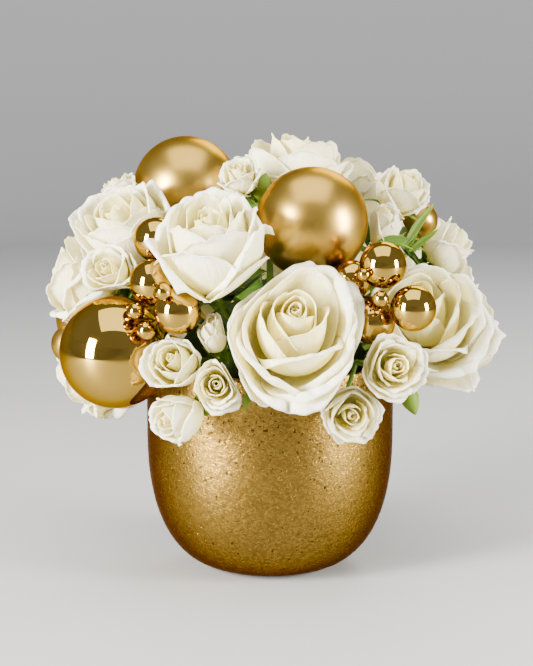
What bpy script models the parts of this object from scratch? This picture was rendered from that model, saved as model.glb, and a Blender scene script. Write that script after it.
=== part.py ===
"""Floral table centerpiece: white roses and spray roses with gold baubles in a round gold bowl.

All lengths are in millimetres until a mesh is made, which turns them into metres. The origin is the
middle of the bowl's underside, +Z is up, and the front of the arrangement looks along -Y.
"""

import math

import bmesh
import bpy
import numpy as np
from mathutils import Matrix, Vector

MM = 0.001

# Bowl
BOWL_RADIUS = 80.0
BOWL_HEIGHT = 138.0
BOWL_FOOT = 26.0
BOWL_ROUND = 90.0
BOWL_POWER = 2.4
BOWL_WALL = 3.0

# Foam plug: it fills the bowl and ends in a dome above the rim
FOAM_CENTRE = np.array([0.0, 0.0, 105.0])
FOAM_DOME = 72.0

# Gaps and thicknesses
SEAT = 0.3
PETAL_THICK = 0.9
CELL_GAP = 1.6
BALL_GAP = 2.1

# Stems and picks
ROSE_STEM = 2.3
SPRAY_STEM = 1.5
WIRE = 1.1
STAND_DEPTH = 26.0

# Each large rose: middle of the head, way it faces, tip radius, depth of the head, turn of its petals
LARGE = {
    "rose_front": ((14, -108, 169), (0.08, -0.853, 0.516), 45, 50, 203),
    "rose_front_upper": ((-35.5, -92, 220), (-0.12, -0.48, 0.87), 34, 56, 35),
    "rose_top": ((17, 28, 256), (0.02, 0.05, 1.0), 40, 48, 70),
    "rose_right": ((100, -40, 168), (0.1, -0.79, 0.6), 40, 50, 120),
    "rose_left_upper": ((-94, -4, 220), (-0.42, -0.42, 0.8), 34, 42, 150),
    "rose_left": ((-119, 8, 188), (-0.93, 0.0, 0.36), 35, 44, 10),
    "rose_top_right": ((56, 62, 236), (0.42, 0.35, 0.84), 38, 42, 100),
    "rose_left_low": ((-117, 16, 124), (-0.85, -0.1, -0.45), 33, 42, 40),
    "rose_right_side": ((124, 32, 157), (0.97, 0.1, 0.2), 39, 44, 80),
    "rose_back_top": ((0, 92, 230), (0.0, 0.6, 0.8), 42, 44, 160),
    "rose_back_left": ((-56, 108, 172), (-0.46, 0.82, 0.34), 44, 46, 60),
    "rose_back": ((22, 121, 172), (0.12, 0.94, 0.32), 45, 46, 8),
    "rose_back_right": ((90, 92, 178), (0.66, 0.66, 0.36), 44, 44, 210),
}

# Each spray rose in the same way, with the green branch that carries it
SPRAY = {
    "spray_left_upper": ((-57, -98, 152), (-0.25, -0.88, 0.4), 20, 30, 0, "left"),
    "spray_left_inner": ((-32, -110, 141), (-0.05, -0.97, 0.22), 16, 24, 80, "left"),
    "spray_left_low": ((-55, -101, 120), (-0.68, -0.72, -0.1), 18, 31, 30, "left"),
    "spray_left_bud": ((-34.5, -92, 168), (-0.1, -0.6, 0.8), 11.5, 27, 10, "left"),
    "spray_right_low": ((48, -99, 121), (0.15, -0.99, 0.02), 18.5, 25, 140, "right"),
    "spray_right_upper": ((74, -101, 150), (0.2, -0.94, 0.26), 20, 26, 50, "right"),
    "spray_top_ruffled": ((-19, -15, 255), (-0.1, -0.5, 0.86), 13, 22, 60, "top"),
    "spray_shoulder": ((85, 10, 243), (0.45, -0.3, 0.84), 17, 30, 0, "shoulder"),
    "spray_shoulder_bud": ((71, -30, 226), (0.15, -0.35, 0.92), 12.5, 28, 20, "shoulder"),
    "spray_shoulder_right": ((113, 4, 208), (0.82, -0.05, 0.57), 18, 31, 30, "shoulder"),
    "spray_left_ruffled": ((-100, -45, 199), (-0.36, -0.8, 0.48), 18, 26, 90, "side"),
    "spray_left_back": ((-98, 31, 240), (-0.55, 0.1, 0.83), 14, 24, 60, "side"),
    "spray_back_side": ((-97, 66, 206), (-0.62, 0.5, 0.6), 17, 26, 20, "side"),
    "spray_back_shoulder": ((104, 56, 212), (0.62, 0.38, 0.69), 15, 25, 60, "shoulder"),
    "spray_back_left": ((-18, 114, 131), (-0.2, 0.97, -0.1), 18, 26, 0, "back"),
    "spray_back_middle": ((58, 106, 133), (0.45, 0.88, -0.1), 18, 26, 50, "back"),
    "spray_back_right": ((104, 74, 133), (0.8, 0.58, -0.1), 17, 25, 20, "back"),
}

# Large roses that are deeper and more upright, or wide open
LARGE_KIND = {"rose_front_upper": "goblet", "rose_left_upper": "goblet", "rose_top": "open", "rose_right": "open"}

# Spray roses that are only half open
CUPS = (
    "spray_left_upper",
    "spray_left_low",
    "spray_left_bud",
    "spray_shoulder_bud",
    "spray_shoulder_right",
)

# How far the heart of a bloom leans at its tip, to the right and upwards, as shares of the radius
HEART_LEAN = {"rose_front": (0.0, 0.26), "rose_front_upper": (0.0, 0.12), "rose_right": (-0.22, 0.3)}

# How wavy the petals are
WAVY = {"full": 1.0, "goblet": 1.0, "open": 1.4, "small": 2.4, "cup": 1.8}

# Sepals of the spray roses and buds that are longer than the rest
SEPALS = {
    "spray_shoulder": 19.0,
    "spray_shoulder_bud": 18.0,
    "spray_shoulder_right": 18.0,
    "spray_right_upper": 14.0,
    "spray_right_low": 15.0,
    "spray_left_bud": 15.0,
    "spray_left_upper": 14.0,
    "spray_left_low": 14.0,
    "spray_left_ruffled": 17.0,
    "spray_top_ruffled": 14.0,
    "bud_top": 14.0,
}

# Single outer petals that hang or lie wider than the rest: the way each points, then shares as in the plans
# below for belly, tip_r, tip_z and half, then curl and lip
LOOSE = {
    "rose_front": (((-0.70, 0.0, -0.70), 0.84, 1.12, 0.30, 0.44, 45, 0.10),),
    "rose_front_upper": (((0.62, -0.25, -0.75), 0.82, 1.04, 0.50, 0.85, 40, 0.10),),
    "rose_right": (
        ((-0.35, 0.1, -0.95), 0.74, 1.30, 0.26, 0.50, 60, 0.12),
        ((0.2, 0.1, -0.95), 0.78, 1.45, 0.36, 0.55, 45, 0.10),
        ((0.95, 0.2, -0.35), 0.70, 1.18, 0.50, 0.60, 60, 0.12),
    ),
    "rose_left": (((-0.3, -0.6, -0.75), 0.80, 1.10, 0.45, 0.55, 60, 0.12),),
}

# Leaves under the heads: the way each points, its length and half its width
LEAVES = {
    "rose_front": (((-1.0, 0.0, 0.12), 42, 13), ((1.0, 0.1, -0.05), 38, 12), ((-0.52, 0.3, 0.8), 46, 15)),
    "rose_front_upper": (((1.0, 0.15, -0.15), 42, 14), ((0.7, 0.6, 0.3), 46, 16)),
    "rose_top": (((-0.7, -0.7, 0.0), 40, 13), ((0.8, -0.55, 0.0), 40, 13)),
    "rose_right": (((0.1, 0.35, 0.9), 38, 13), ((-0.95, 0.1, 0.3), 34, 12)),
    "rose_left_upper": (((0.35, -0.9, -0.2), 32, 11), ((-0.6, 0.8, 0.0), 32, 11)),
    "rose_left": (((0.0, -0.75, 0.65), 32, 11), ((0.0, 0.9, 0.3), 34, 12)),
    "rose_top_right": (((0.25, -0.95, -0.1), 38, 13), ((0.95, 0.1, -0.3), 36, 12)),
    "rose_left_low": (((-0.25, -0.5, 0.85), 42, 9),),
    "rose_right_side": (((0.0, -0.5, 0.85), 36, 13), ((0.0, 0.6, 0.8), 36, 13)),
    "rose_back_top": (((-0.9, 0.1, -0.3), 36, 12), ((0.6, 0.6, -0.5), 34, 12)),
    "rose_back_left": (((-0.7, -0.2, 0.7), 36, 12), ((0.85, 0.5, 0.2), 34, 13)),
    "rose_back": (((-1.0, 0.1, 0.15), 42, 14), ((0.8, 0.0, 0.6), 36, 13)),
    "rose_back_right": (((0.5, -0.6, 0.6), 34, 12),),
    "spray_shoulder": (((0.2, -0.9, -0.2), 32, 9), ((0.8, -0.5, -0.2), 30, 8)),
    "spray_shoulder_bud": (((0.85, -0.5, 0.2), 32, 9), ((-0.2, -0.95, 0.0), 22, 7)),
    "spray_shoulder_right": (((-0.45, -0.6, 0.6), 34, 9), ((0.1, -0.95, 0.2), 32, 9)),
    "spray_left_bud": (((-0.3, -0.8, -0.5), 20, 7), ((0.8, -0.4, -0.2), 18, 6)),
    "spray_right_upper": (((-0.8, 0.1, -0.5), 26, 8),),
    "spray_left_ruffled": (((0.7, -0.1, 0.7), 26, 7), ((-0.9, 0.0, 0.5), 24, 7)),
    "spray_top_ruffled": (((0.9, -0.3, -0.1), 24, 8),),
}

# Closed buds, which are all green and stay on their branch
BUD = {
    "bud_top": ((-5, -3, 248), (0.25, 0.1, 0.96), 7.5, 19, 0, "top"),
    "bud_right": ((87, -68, 122), (0.35, -0.3, -0.88), 6.5, 18, 0, "right"),
}

# Where each green branch divides
BRANCH = {
    "left": (-40, -79, 150),
    "right": (53, -75, 148),
    "top": (-10, -6, 222),
    "shoulder": (74, -2, 196),
    "side": (-80, 34, 190),
    "back": (44, 84, 148),
}

# Each single bauble: middle and radius
BAUBLE = {
    "bauble_satin_left": ((-56, 55, 241), 35),
    "bauble_satin_right": ((26, -41, 230), 35),
    "bauble_mirror": ((-96, -60, 151.5), 35),
    "bauble_satin_back": ((-110, 66, 153), 35),
    "bauble_small_left": ((-128, -14.5, 148.5), 12.5),
    "bauble_small_right": ((98, 28, 223), 12),
}

# Each bunch of small baubles on wires: where the wires meet, then the balls
BUNCH = {
    "bunch_left": (
        (-52, -50, 185),
        (
            ((-71.6, -79, 198), 14.2),
            ((-55.8, -99.5, 184), 14.2),
            ((-71, -45, 220), 14),
            ((-81.5, -89, 182), 5.5),
            ((-75, -94, 171), 6),
            ((-63.8, -112, 197.5), 5.2),
        ),
    ),
    "bunch_right": (
        (56, -56, 186),
        (
            ((68, -87, 210), 14.3),
            ((86, -96, 185), 14),
            ((62.5, -80.5, 174), 13.8),
            ((49.8, -68.6, 198.2), 12.2),
            ((56, -99, 206), 4),
            ((66, -104, 192), 5),
        ),
    ),
    "bunch_back": (
        (40, 88, 196),
        (((52, 112, 213), 14), ((34, 128, 223), 10), ((71, 105, 228), 8)),
    ),
}

GOLDEN = math.radians(137.5)
RING_TURN = (0, 35, 80, 20, 60)


def unit(v):
    v = np.asarray(v, float)
    return v / np.linalg.norm(v)


def smooth(x):
    x = np.clip(x, 0.0, 1.0)
    return x * x * (3.0 - 2.0 * x)


# Materials
def material(name, colour, metallic, roughness):
    mat = bpy.data.materials.new(name)
    mat.use_nodes = True
    shader = mat.node_tree.nodes["Principled BSDF"]
    shader.inputs["Base Color"].default_value = (*colour, 1.0)
    shader.inputs["Metallic"].default_value = metallic
    shader.inputs["Roughness"].default_value = roughness
    return mat


# Scene and its collections
for old in list(bpy.data.objects):
    bpy.data.objects.remove(old)
scene = bpy.context.scene
parts = bpy.data.collections.new("floral_centerpiece")
scene.collection.children.link(parts)
cutters = bpy.data.collections.new("cutters")
scene.collection.children.link(cutters)

PETAL_WHITE = material("petal_white", (0.88, 0.86, 0.76), 0.0, 0.55)
LEAF_GREEN = material("leaf_green", (0.10, 0.22, 0.04), 0.0, 0.5)
FOAM_GREEN = material("foam_green", (0.05, 0.14, 0.06), 0.0, 0.95)
BOWL_GOLD = material("bowl_gold", (0.60, 0.40, 0.14), 1.0, 0.4)
SATIN_GOLD = material("satin_gold", (0.72, 0.52, 0.22), 1.0, 0.35)
MIRROR_GOLD = material("mirror_gold", (0.85, 0.60, 0.26), 1.0, 0.06)


def mesh_object(name, verts, faces, collection=parts):
    mesh = bpy.data.meshes.new(name)
    mesh.from_pydata([tuple(v * MM) for v in np.asarray(verts, float)], [], faces)
    obj = bpy.data.objects.new(name, mesh)
    collection.objects.link(obj)
    return obj


def settle(obj):
    """Applies the modifiers of an object and leaves the plain mesh."""
    bpy.context.view_layer.update()
    graph = bpy.context.evaluated_depsgraph_get()
    baked = bpy.data.meshes.new_from_object(obj.evaluated_get(graph))
    old = obj.data
    obj.modifiers.clear()
    obj.data = baked
    bpy.data.meshes.remove(old)
    return obj


def boolean(obj, others, operation, solver="MANIFOLD"):
    """Joins or cuts an object with others, then removes the others."""
    group = bpy.data.collections.new("operands")
    scene.collection.children.link(group)
    for other in others:
        for home in list(other.users_collection):
            home.objects.unlink(other)
        group.objects.link(other)
    mod = obj.modifiers.new("join", "BOOLEAN")
    mod.operation = operation
    mod.operand_type = "COLLECTION"
    mod.collection = group
    mod.solver = solver
    settle(obj)
    for other in others:
        bpy.data.objects.remove(other)
    bpy.data.collections.remove(group)
    return obj


def triangulate_and_thicken(obj, thickness, offset=0.0):
    """A thin blade whose two sides are divided into the same triangles."""
    mod = obj.modifiers.new("triangles", "TRIANGULATE")
    mod.quad_method = "SHORTEST_DIAGONAL"
    mod = obj.modifiers.new("thickness", "SOLIDIFY")
    mod.thickness = thickness * MM
    mod.offset = offset
    mod.use_even_offset = False
    settle(obj)


def lathe(name, profile, sides, collection=parts):
    """Turns a profile of (radius, height) round Z. The profile runs down the outer side."""
    mesh = bpy.data.meshes.new(name)
    verts = [(r * MM, 0.0, z * MM) for r, z in profile]
    mesh.from_pydata(verts, [(i, i + 1) for i in range(len(verts) - 1)], [])
    obj = bpy.data.objects.new(name, mesh)
    collection.objects.link(obj)
    mod = obj.modifiers.new("turn", "SCREW")
    mod.steps = sides
    mod.render_steps = sides
    mod.use_merge_vertices = True
    mod.merge_threshold = 0.00001
    mod.use_smooth_shade = False
    settle(obj)
    return obj


def tube(name, points, radius, sides_level, collection=parts):
    """A round stem or wire along points, with closed ends."""
    curve = bpy.data.curves.new(name, "CURVE")
    curve.dimensions = "3D"
    curve.bevel_depth = radius * MM
    curve.bevel_resolution = sides_level
    curve.use_fill_caps = True
    spline = curve.splines.new("POLY")
    spline.points.add(len(points) - 1)
    for point, place in zip(spline.points, points):
        point.co = (*[c * MM for c in place], 1.0)
    bent = bpy.data.objects.new(name + "_curve", curve)
    collection.objects.link(bent)
    bpy.context.view_layer.update()
    graph = bpy.context.evaluated_depsgraph_get()
    mesh = bpy.data.meshes.new_from_object(bent.evaluated_get(graph))
    bpy.data.objects.remove(bent)
    bm = bmesh.new()
    bm.from_mesh(mesh)
    bmesh.ops.remove_doubles(bm, verts=bm.verts, dist=1e-6)
    bmesh.ops.recalc_face_normals(bm, faces=bm.faces)
    bm.to_mesh(mesh)
    bm.free()
    obj = bpy.data.objects.new(name, mesh)
    collection.objects.link(obj)
    return obj


def ball(name, centre, radius, level, collection=parts):
    bm = bmesh.new()
    place = Matrix.Translation(Vector(centre) * MM)
    bmesh.ops.create_icosphere(bm, subdivisions=level, radius=radius * MM, matrix=place)
    mesh = bpy.data.meshes.new(name)
    bm.to_mesh(mesh)
    bm.free()
    obj = bpy.data.objects.new(name, mesh)
    collection.objects.link(obj)
    return obj


# Space between neighbours
def receptacle(centre, axis, depth):
    return np.asarray(centre, float) - unit(axis) * depth * 0.5


def foam_entry(point):
    """The way from a point to the foam: where it enters and where it ends inside. It passes over the rim."""
    point = np.asarray(point, float)
    share = BOWL_RADIUS / max(math.hypot(point[0], point[1]), BOWL_RADIUS + 8.0)
    level = (BOWL_HEIGHT + 6.0 - point[2] * share) / (1.0 - share)
    if math.hypot(point[0], point[1]) < BOWL_RADIUS:
        level = 112.0
    aim = np.array([0.0, 0.0, min(max(112.0, level), 148.0)])
    way = unit(aim - point)
    out = point - FOAM_CENTRE
    half = np.dot(out, way)
    reach = -half - math.sqrt(max(half * half - np.dot(out, out) + FOAM_DOME**2, 0.0))
    enter = point + way * reach
    return enter, enter + way * STAND_DEPTH


def bend_down(start, away, enter, inside, steps):
    """A smooth stem from a head down to the foam, then straight into it."""
    start, enter, inside = (np.asarray(p, float) for p in (start, enter, inside))
    way = unit(inside - enter)
    mouth = enter - way * 3.0
    span = np.linalg.norm(mouth - start)
    c1 = start + unit(away) * span * 0.4
    c2 = mouth - way * span * 0.35
    points = []
    for i in range(steps + 1):
        t = i / steps
        b = ((1 - t) ** 3, 3 * t * (1 - t) ** 2, 3 * t * t * (1 - t), t**3)
        points.append(b[0] * start + b[1] * c1 + b[2] * c2 + b[3] * mouth)
    return points + [inside]


HEADS = {}
for key, (centre, axis, radius, depth, turn) in LARGE.items():
    HEADS[key] = (np.array(centre, float), unit(axis), radius, depth, turn)
SMALL = {**SPRAY, **BUD}
for key, (centre, axis, radius, depth, turn, branch) in SMALL.items():
    HEADS[key] = (np.array(centre, float), unit(axis), radius, depth, turn)

STEMS = {}
for key, (centre, axis, radius, depth, turn) in LARGE.items():
    low = receptacle(centre, axis, depth) - unit(axis) * 7.0
    over = np.array([low[0] * 0.9, low[1] * 0.9, max(low[2], BOWL_HEIGHT + 9.0)])
    enter, inside = foam_entry(over)
    away = -unit(axis) if low[2] > BOWL_HEIGHT + 6.0 else unit((0, 0, 1) - 0.3 * unit(axis))
    STEMS[key] = bend_down(low, away, enter, inside, 3)
for key, fork in BRANCH.items():
    enter, inside = foam_entry(fork)
    STEMS["branch_" + key] = [np.array(fork, float), enter, inside]
for key, (centre, axis, radius, depth, turn, branch) in SMALL.items():
    low = receptacle(centre, axis, depth) - unit(axis) * 3.0
    fork = np.array(BRANCH[branch], float)
    span = np.linalg.norm(fork - low)
    c1 = low - unit(axis) * span * 0.45
    mid = 0.25 * low + 0.5 * c1 + 0.25 * fork
    STEMS[key] = [low, mid, fork]

# Round things that petals bend round: two ends of a line, and the radius about it
ROUND = []
for key, (centre, radius) in BAUBLE.items():
    centre = np.array(centre, float)
    enter, inside = foam_entry(centre)
    ROUND.append((key, centre, centre, radius, 9.0 if radius > 20 else 5.0))
    ROUND.append((key, centre, enter, 1.8, 3.0))
for key, (fork, balls) in BUNCH.items():
    enter, inside = foam_entry(fork)
    ROUND.append((key, np.array(fork, float), enter, 1.8, 3.0))
    for centre, radius in balls:
        centre = np.array(centre, float)
        ROUND.append((key, centre, centre, radius, 6.0 if radius > 10 else 3.0))
        ROUND.append((key, centre, np.array(fork, float), WIRE, 2.0))
for key, points in STEMS.items():
    radius = ROSE_STEM if key in LARGE else SPRAY_STEM
    for first, second in zip(points, points[1:]):
        ROUND.append((key, first, second, radius, 3.0))


def push_from(points, nearest, radius, soft, gap):
    """Moves points off a round thing: those well away stay, those inside come out to just over its surface."""
    offset = points - nearest
    dist = np.linalg.norm(offset, axis=1)
    reach = radius + soft
    power = reach / (soft - gap)
    moved = radius + gap + (soft - gap) * (np.minimum(dist, reach) / reach) ** power
    scale = np.where(dist < reach, moved / np.maximum(dist, 1e-6), 1.0)
    return nearest + offset * scale[:, None]


def nearest_on(points, first, second):
    line = second - first
    size = np.dot(line, line)
    if size < 1e-9:
        return np.broadcast_to(first, points.shape)
    t = np.clip((points - first) @ line / size, 0.0, 1.0)
    return first + t[:, None] * line


def clear(points, key, hold, inset=0.0, own=(), under=False):
    """Bends points of one bloom clear of its neighbours. Hold is 0 at the root and 1 away from it.

    Points that belong under the head, such as a leaf's, also stay below its petals.
    """
    centre, axis, radius, depth, turn = HEADS[key]
    start = points.copy()
    soft = 0.28 * radius
    walls = [(axis, -0.5 * depth - 3.5)] if under else []
    for other, (place, way, size, deep, rot) in HEADS.items():
        if other == key:
            continue
        across = place - centre
        dist = np.linalg.norm(across)
        if dist > radius + size + 34:
            continue
        limit = (dist * dist + radius * radius - size * size) / (2 * dist)
        walls.append((across / dist, limit - CELL_GAP / 2 - inset))
    out = points.copy()
    for normal, limit in walls:
        s = (out - centre) @ normal
        s0 = limit - soft
        bent = s0 + soft * (1.0 - np.exp(-np.maximum(s - s0, 0.0) / soft))
        out += (np.where(s > s0, bent, s) - s)[:, None] * normal
    for _ in range(4):
        for name, first, second, size, room in ROUND:
            if name == key or name in own:
                continue
            near = nearest_on(out, first, second)
            out = push_from(out, near, size, room, BALL_GAP if room > 4 else 1.1)
        out = clear_bowl(out)
        for normal, limit in walls:
            s = (out - centre) @ normal
            out -= np.maximum(s - limit, 0.0)[:, None] * normal
    return start + (out - start) * hold[:, None]


def clear_bowl(points):
    """Keeps points off the bowl's wall and rim, and off the foam dome."""
    out = points.copy()
    r = np.hypot(out[:, 0], out[:, 1])
    flat = np.stack([r, out[:, 2]], axis=1)
    wall_r = BOWL_RADIUS - 0.5 * BOWL_WALL
    near = np.stack([np.full_like(r, wall_r), np.minimum(out[:, 2], BOWL_HEIGHT - 1.5)], axis=1)
    moved = push_from(flat, near, 0.5 * BOWL_WALL, 5.0, 1.0)
    scale = moved[:, 0] / np.maximum(r, 1e-6)
    out[:, 0] *= scale
    out[:, 1] *= scale
    out[:, 2] = moved[:, 1]
    near = np.broadcast_to(FOAM_CENTRE, out.shape)
    return push_from(out, near, FOAM_DOME, 4.0, 1.0)


# Petals
def frame_of(axis):
    axis = unit(axis)
    side = np.cross(axis, (0.0, 0.0, 1.0) if abs(axis[2]) < 0.9 else (0.0, 1.0, 0.0))
    side = unit(side)
    return np.stack([side, np.cross(axis, side), axis], axis=1)


def turned_frame(axis, turn):
    spin = math.radians(turn)
    twist = np.array([(math.cos(spin), -math.sin(spin), 0), (math.sin(spin), math.cos(spin), 0), (0, 0, 1)])
    return frame_of(axis) @ twist


# How petals change from the heart of a bloom (0) to its outside (1), as shares of its radius or depth
PLACES = (0.0, 0.15, 0.30, 0.42, 0.50, 0.75, 1.0)
PLANS = {
    "full": {
        "belly": (0.05, 0.13, 0.27, 0.44, 0.57, 0.75, 0.86),
        "tip_r": (0.03, 0.08, 0.19, 0.35, 0.58, 0.80, 0.98),
        "tip_z": (0.86, 0.92, 0.96, 0.98, 0.96, 0.86, 0.66),
        "half": (0.24, 0.37, 0.53, 0.69, 0.80, 0.93, 1.00),
        "curl": (5, 10, 25, 50, 80, 115, 125),
        "lip": (0.03, 0.04, 0.06, 0.10, 0.14, 0.18, 0.22),
    },
    "goblet": {
        "belly": (0.05, 0.13, 0.27, 0.44, 0.58, 0.76, 0.88),
        "tip_r": (0.03, 0.08, 0.18, 0.32, 0.46, 0.70, 0.96),
        "tip_z": (0.84, 0.90, 0.95, 0.98, 0.99, 0.95, 0.84),
        "half": (0.22, 0.34, 0.48, 0.64, 0.76, 0.92, 1.05),
        "curl": (5, 10, 22, 35, 50, 70, 95),
        "lip": (0.03, 0.04, 0.06, 0.08, 0.10, 0.14, 0.20),
    },
    "open": {
        "belly": (0.05, 0.14, 0.30, 0.48, 0.62, 0.72, 0.72),
        "tip_r": (0.03, 0.09, 0.22, 0.42, 0.64, 0.86, 1.00),
        "tip_z": (0.80, 0.86, 0.90, 0.92, 0.90, 0.78, 0.56),
        "half": (0.24, 0.38, 0.54, 0.68, 0.80, 0.92, 1.00),
        "curl": (5, 10, 20, 35, 55, 90, 120),
        "lip": (0.03, 0.04, 0.06, 0.08, 0.10, 0.14, 0.20),
    },
    "small": {
        "belly": (0.06, 0.16, 0.30, 0.45, 0.56, 0.74, 0.88),
        "tip_r": (0.04, 0.12, 0.25, 0.42, 0.58, 0.80, 1.00),
        "tip_z": (0.86, 0.92, 0.97, 0.98, 0.96, 0.88, 0.68),
        "half": (0.26, 0.40, 0.55, 0.70, 0.82, 0.96, 1.05),
        "curl": (5, 15, 35, 60, 80, 100, 115),
        "lip": (0.03, 0.05, 0.08, 0.12, 0.15, 0.18, 0.20),
    },
    "cup": {
        "belly": (0.06, 0.14, 0.28, 0.42, 0.52, 0.68, 0.82),
        "tip_r": (0.04, 0.09, 0.18, 0.28, 0.36, 0.56, 0.82),
        "tip_z": (0.88, 0.94, 0.98, 1.00, 1.00, 0.97, 0.86),
        "half": (0.24, 0.36, 0.50, 0.64, 0.74, 0.86, 0.94),
        "curl": (5, 12, 25, 40, 50, 75, 105),
        "lip": (0.03, 0.04, 0.06, 0.08, 0.10, 0.13, 0.17),
    },
}
PETALS = {"full": 25, "goblet": 25, "open": 24, "small": 16, "cup": 15}


def petal_plans(key):
    """Measures of every petal of a bloom, from the heart outwards. The outer petals stand in rings of three."""
    centre, axis, radius, depth, turn = HEADS[key]
    kind = kind_of(key)
    count = PETALS[kind]
    rng = np.random.default_rng(seed_of(key))
    plans = []
    for k in range(count):
        q = k / (count - 1)
        ring, place = divmod(count - 1 - k, 3)
        spread = math.radians(120 * place + RING_TURN[ring % 5]) if ring < 5 else GOLDEN * k
        share = {name: float(np.interp(q, PLACES, row)) for name, row in PLANS[kind].items()}
        plans.append(
            {
                "q": q,
                "azimuth": spread + rng.normal(0, 0.11),
                "belly": share["belly"] * radius,
                "tip_r": (share["tip_r"] + rng.normal(0, 0.022) * (0.3 + q)) * radius,
                "tip_z": (share["tip_z"] + rng.normal(0, 0.03)) * depth,
                "root_r": 0.03 * radius + 0.5,
                "root_z": 1.5 + 0.1 * depth * (1 - q),
                "low": depth * (0.02 + 0.10 * (1 - q)),
                "high": 0.72 - 0.1 * q,
                "half": share["half"] * radius * rng.uniform(0.86, 1.1),
                "curl": math.radians(share["curl"]) * rng.uniform(0.6, 1.3),
                "lip": share["lip"] * radius * rng.uniform(0.8, 1.2),
                "slide": radius * (0.012 + 0.022 * q),
                "flat": 0.3 * q * q,
                "lean": rng.uniform(-0.05, 0.05),
                "point": 0.015 + 0.03 * q * rng.uniform(0, 1),
                "phase": rng.uniform(0, 6.28, 3),
                "ruffle": WAVY[kind] * radius * (0.003 + 0.011 * q),
                "edge": radius * 0.05 * q,
            }
        )
    for way, belly, tip_r, tip_z, half, curl, lip in LOOSE.get(key, ()):
        local = turned_frame(axis, turn).T @ np.array(way)
        plans.append(
            {
                **plans[-1],
                "azimuth": math.atan2(local[1], local[0]),
                "belly": belly * radius,
                "tip_r": tip_r * radius,
                "tip_z": tip_z * depth,
                "half": half * radius,
                "curl": math.radians(curl),
                "lip": lip * radius,
            }
        )
    return plans


def petal_grid(p, along, across, wide=1.0):
    """Points of one petal in the frame of its bloom, as rows from root to tip."""
    root_r, root_z, belly = p["root_r"], p["root_z"], p["belly"]
    c = np.array(
        [
            (root_r, root_z),
            (belly * 1.15, root_z + p["low"]),
            (belly * 1.05, p["tip_z"] * p["high"]),
            (p["tip_r"], p["tip_z"]),
        ]
    )
    u = np.linspace(0, 1, 60)[:, None]
    side = (1 - u) ** 3 * c[0] + 3 * u * (1 - u) ** 2 * c[1] + 3 * u * u * (1 - u) * c[2] + u**3 * c[3]
    length = np.concatenate([[0.0], np.cumsum(np.linalg.norm(np.diff(side, axis=0), axis=1))])
    total = length[-1]
    s, t = np.meshgrid(along, across, indexing="ij")
    far = np.abs(t)
    reach = total * (1.0 - 0.30 * far**2.6 + p["lean"] * t + p["point"] * np.exp(-((t / 0.14) ** 2)))
    a, b, d = p["phase"]
    wave = np.sin(3.3 * t + a) + 0.7 * np.sin(7.1 * t + b) + 0.45 * np.sin(13 * t + d)
    reach = reach * (1 + 0.012 * wave)
    run = s * reach
    curl = p["curl"] * (1 + 0.18 * np.sin(2.3 * t + b))
    lip = p["lip"] * (1 + 0.25 * np.sin(2.9 * t + d))
    flat_end = np.maximum(reach - lip, 0.3 * total)
    on = np.minimum(run, flat_end)
    r = np.interp(on, length, side[:, 0])
    z = np.interp(on, length, side[:, 1])
    ahead_r = np.interp(on, length, np.gradient(side[:, 0], length))
    ahead_z = np.interp(on, length, np.gradient(side[:, 1], length))
    size = np.hypot(ahead_r, ahead_z)
    ahead_r, ahead_z = ahead_r / size, ahead_z / size
    over = np.maximum(run - flat_end, 0.0)
    bow = np.maximum(lip / np.maximum(curl, 0.05), 0.2)
    psi = over / bow
    r = r + ahead_r * bow * np.sin(psi) + ahead_z * bow * (1 - np.cos(psi))
    z = z + ahead_z * bow * np.sin(psi) - ahead_r * bow * (1 - np.cos(psi))
    shape = (0.14 + 0.86 * smooth(s / 0.72)) * (1.0 - 0.14 * smooth((s - 0.7) / 0.3))
    wrap = np.maximum(r, belly * 0.35 + 1.0) * (1.0 + p["flat"] * s)
    angle = np.clip(wide * p["half"] * shape * t / wrap, -3.6, 3.6)
    push = p["slide"] * t * smooth(s / 0.5) + p["ruffle"] * wave * s**3 + p["edge"] * far**5 * smooth(s / 0.6)
    radial = (r - wrap) + wrap * np.cos(angle) + push * np.cos(angle)
    tangent = wrap * np.sin(angle) + push * np.sin(angle)
    ca, sa = math.cos(p["azimuth"]), math.sin(p["azimuth"])
    return np.stack([radial * ca - tangent * sa, radial * sa + tangent * ca, z], axis=-1)


def row_faces(sizes):
    """Faces between rows of points. A row of two points may be followed by a longer one, as at the root of a petal."""
    faces = []
    start = 0
    for few, many in zip(sizes, sizes[1:]):
        nxt = start + few
        if few == many:
            for j in range(few - 1):
                faces.append((start + j, start + j + 1, nxt + j + 1, nxt + j))
        else:
            half = (many - 1) // 2
            for j in range(many - 1):
                foot = start if j < half else start + 1
                faces.append((foot, nxt + j + 1, nxt + j))
            faces.append((start, start + 1, nxt + half))
        start = nxt
    return faces


# Rows and columns of points of a petal, more for the large roses in front
BIG_ALONG = (0.0, 0.25, 0.6, 0.88, 1.0)
BACK_ALONG = (0.0, 0.34, 0.78, 1.0)
BIG_ACROSS = (-1.0, -0.4, 0.4, 1.0)
FEW_ACROSS = (-1.0, 0.0, 1.0)
SMALL_ALONG = (0.0, 0.6, 1.0)
FULL = ("rose_front", "rose_front_upper", "rose_right")


def heart_lean(key):
    centre, axis, radius, depth, turn = HEADS[key]
    beside, above = HEART_LEAN.get(key, (0.0, 0.0))
    up = np.array([0.0, 0.0, 1.0]) - axis * axis[2]
    up /= max(np.linalg.norm(up), 0.2)
    return radius * (above * up + beside * np.cross(up, axis))


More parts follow.
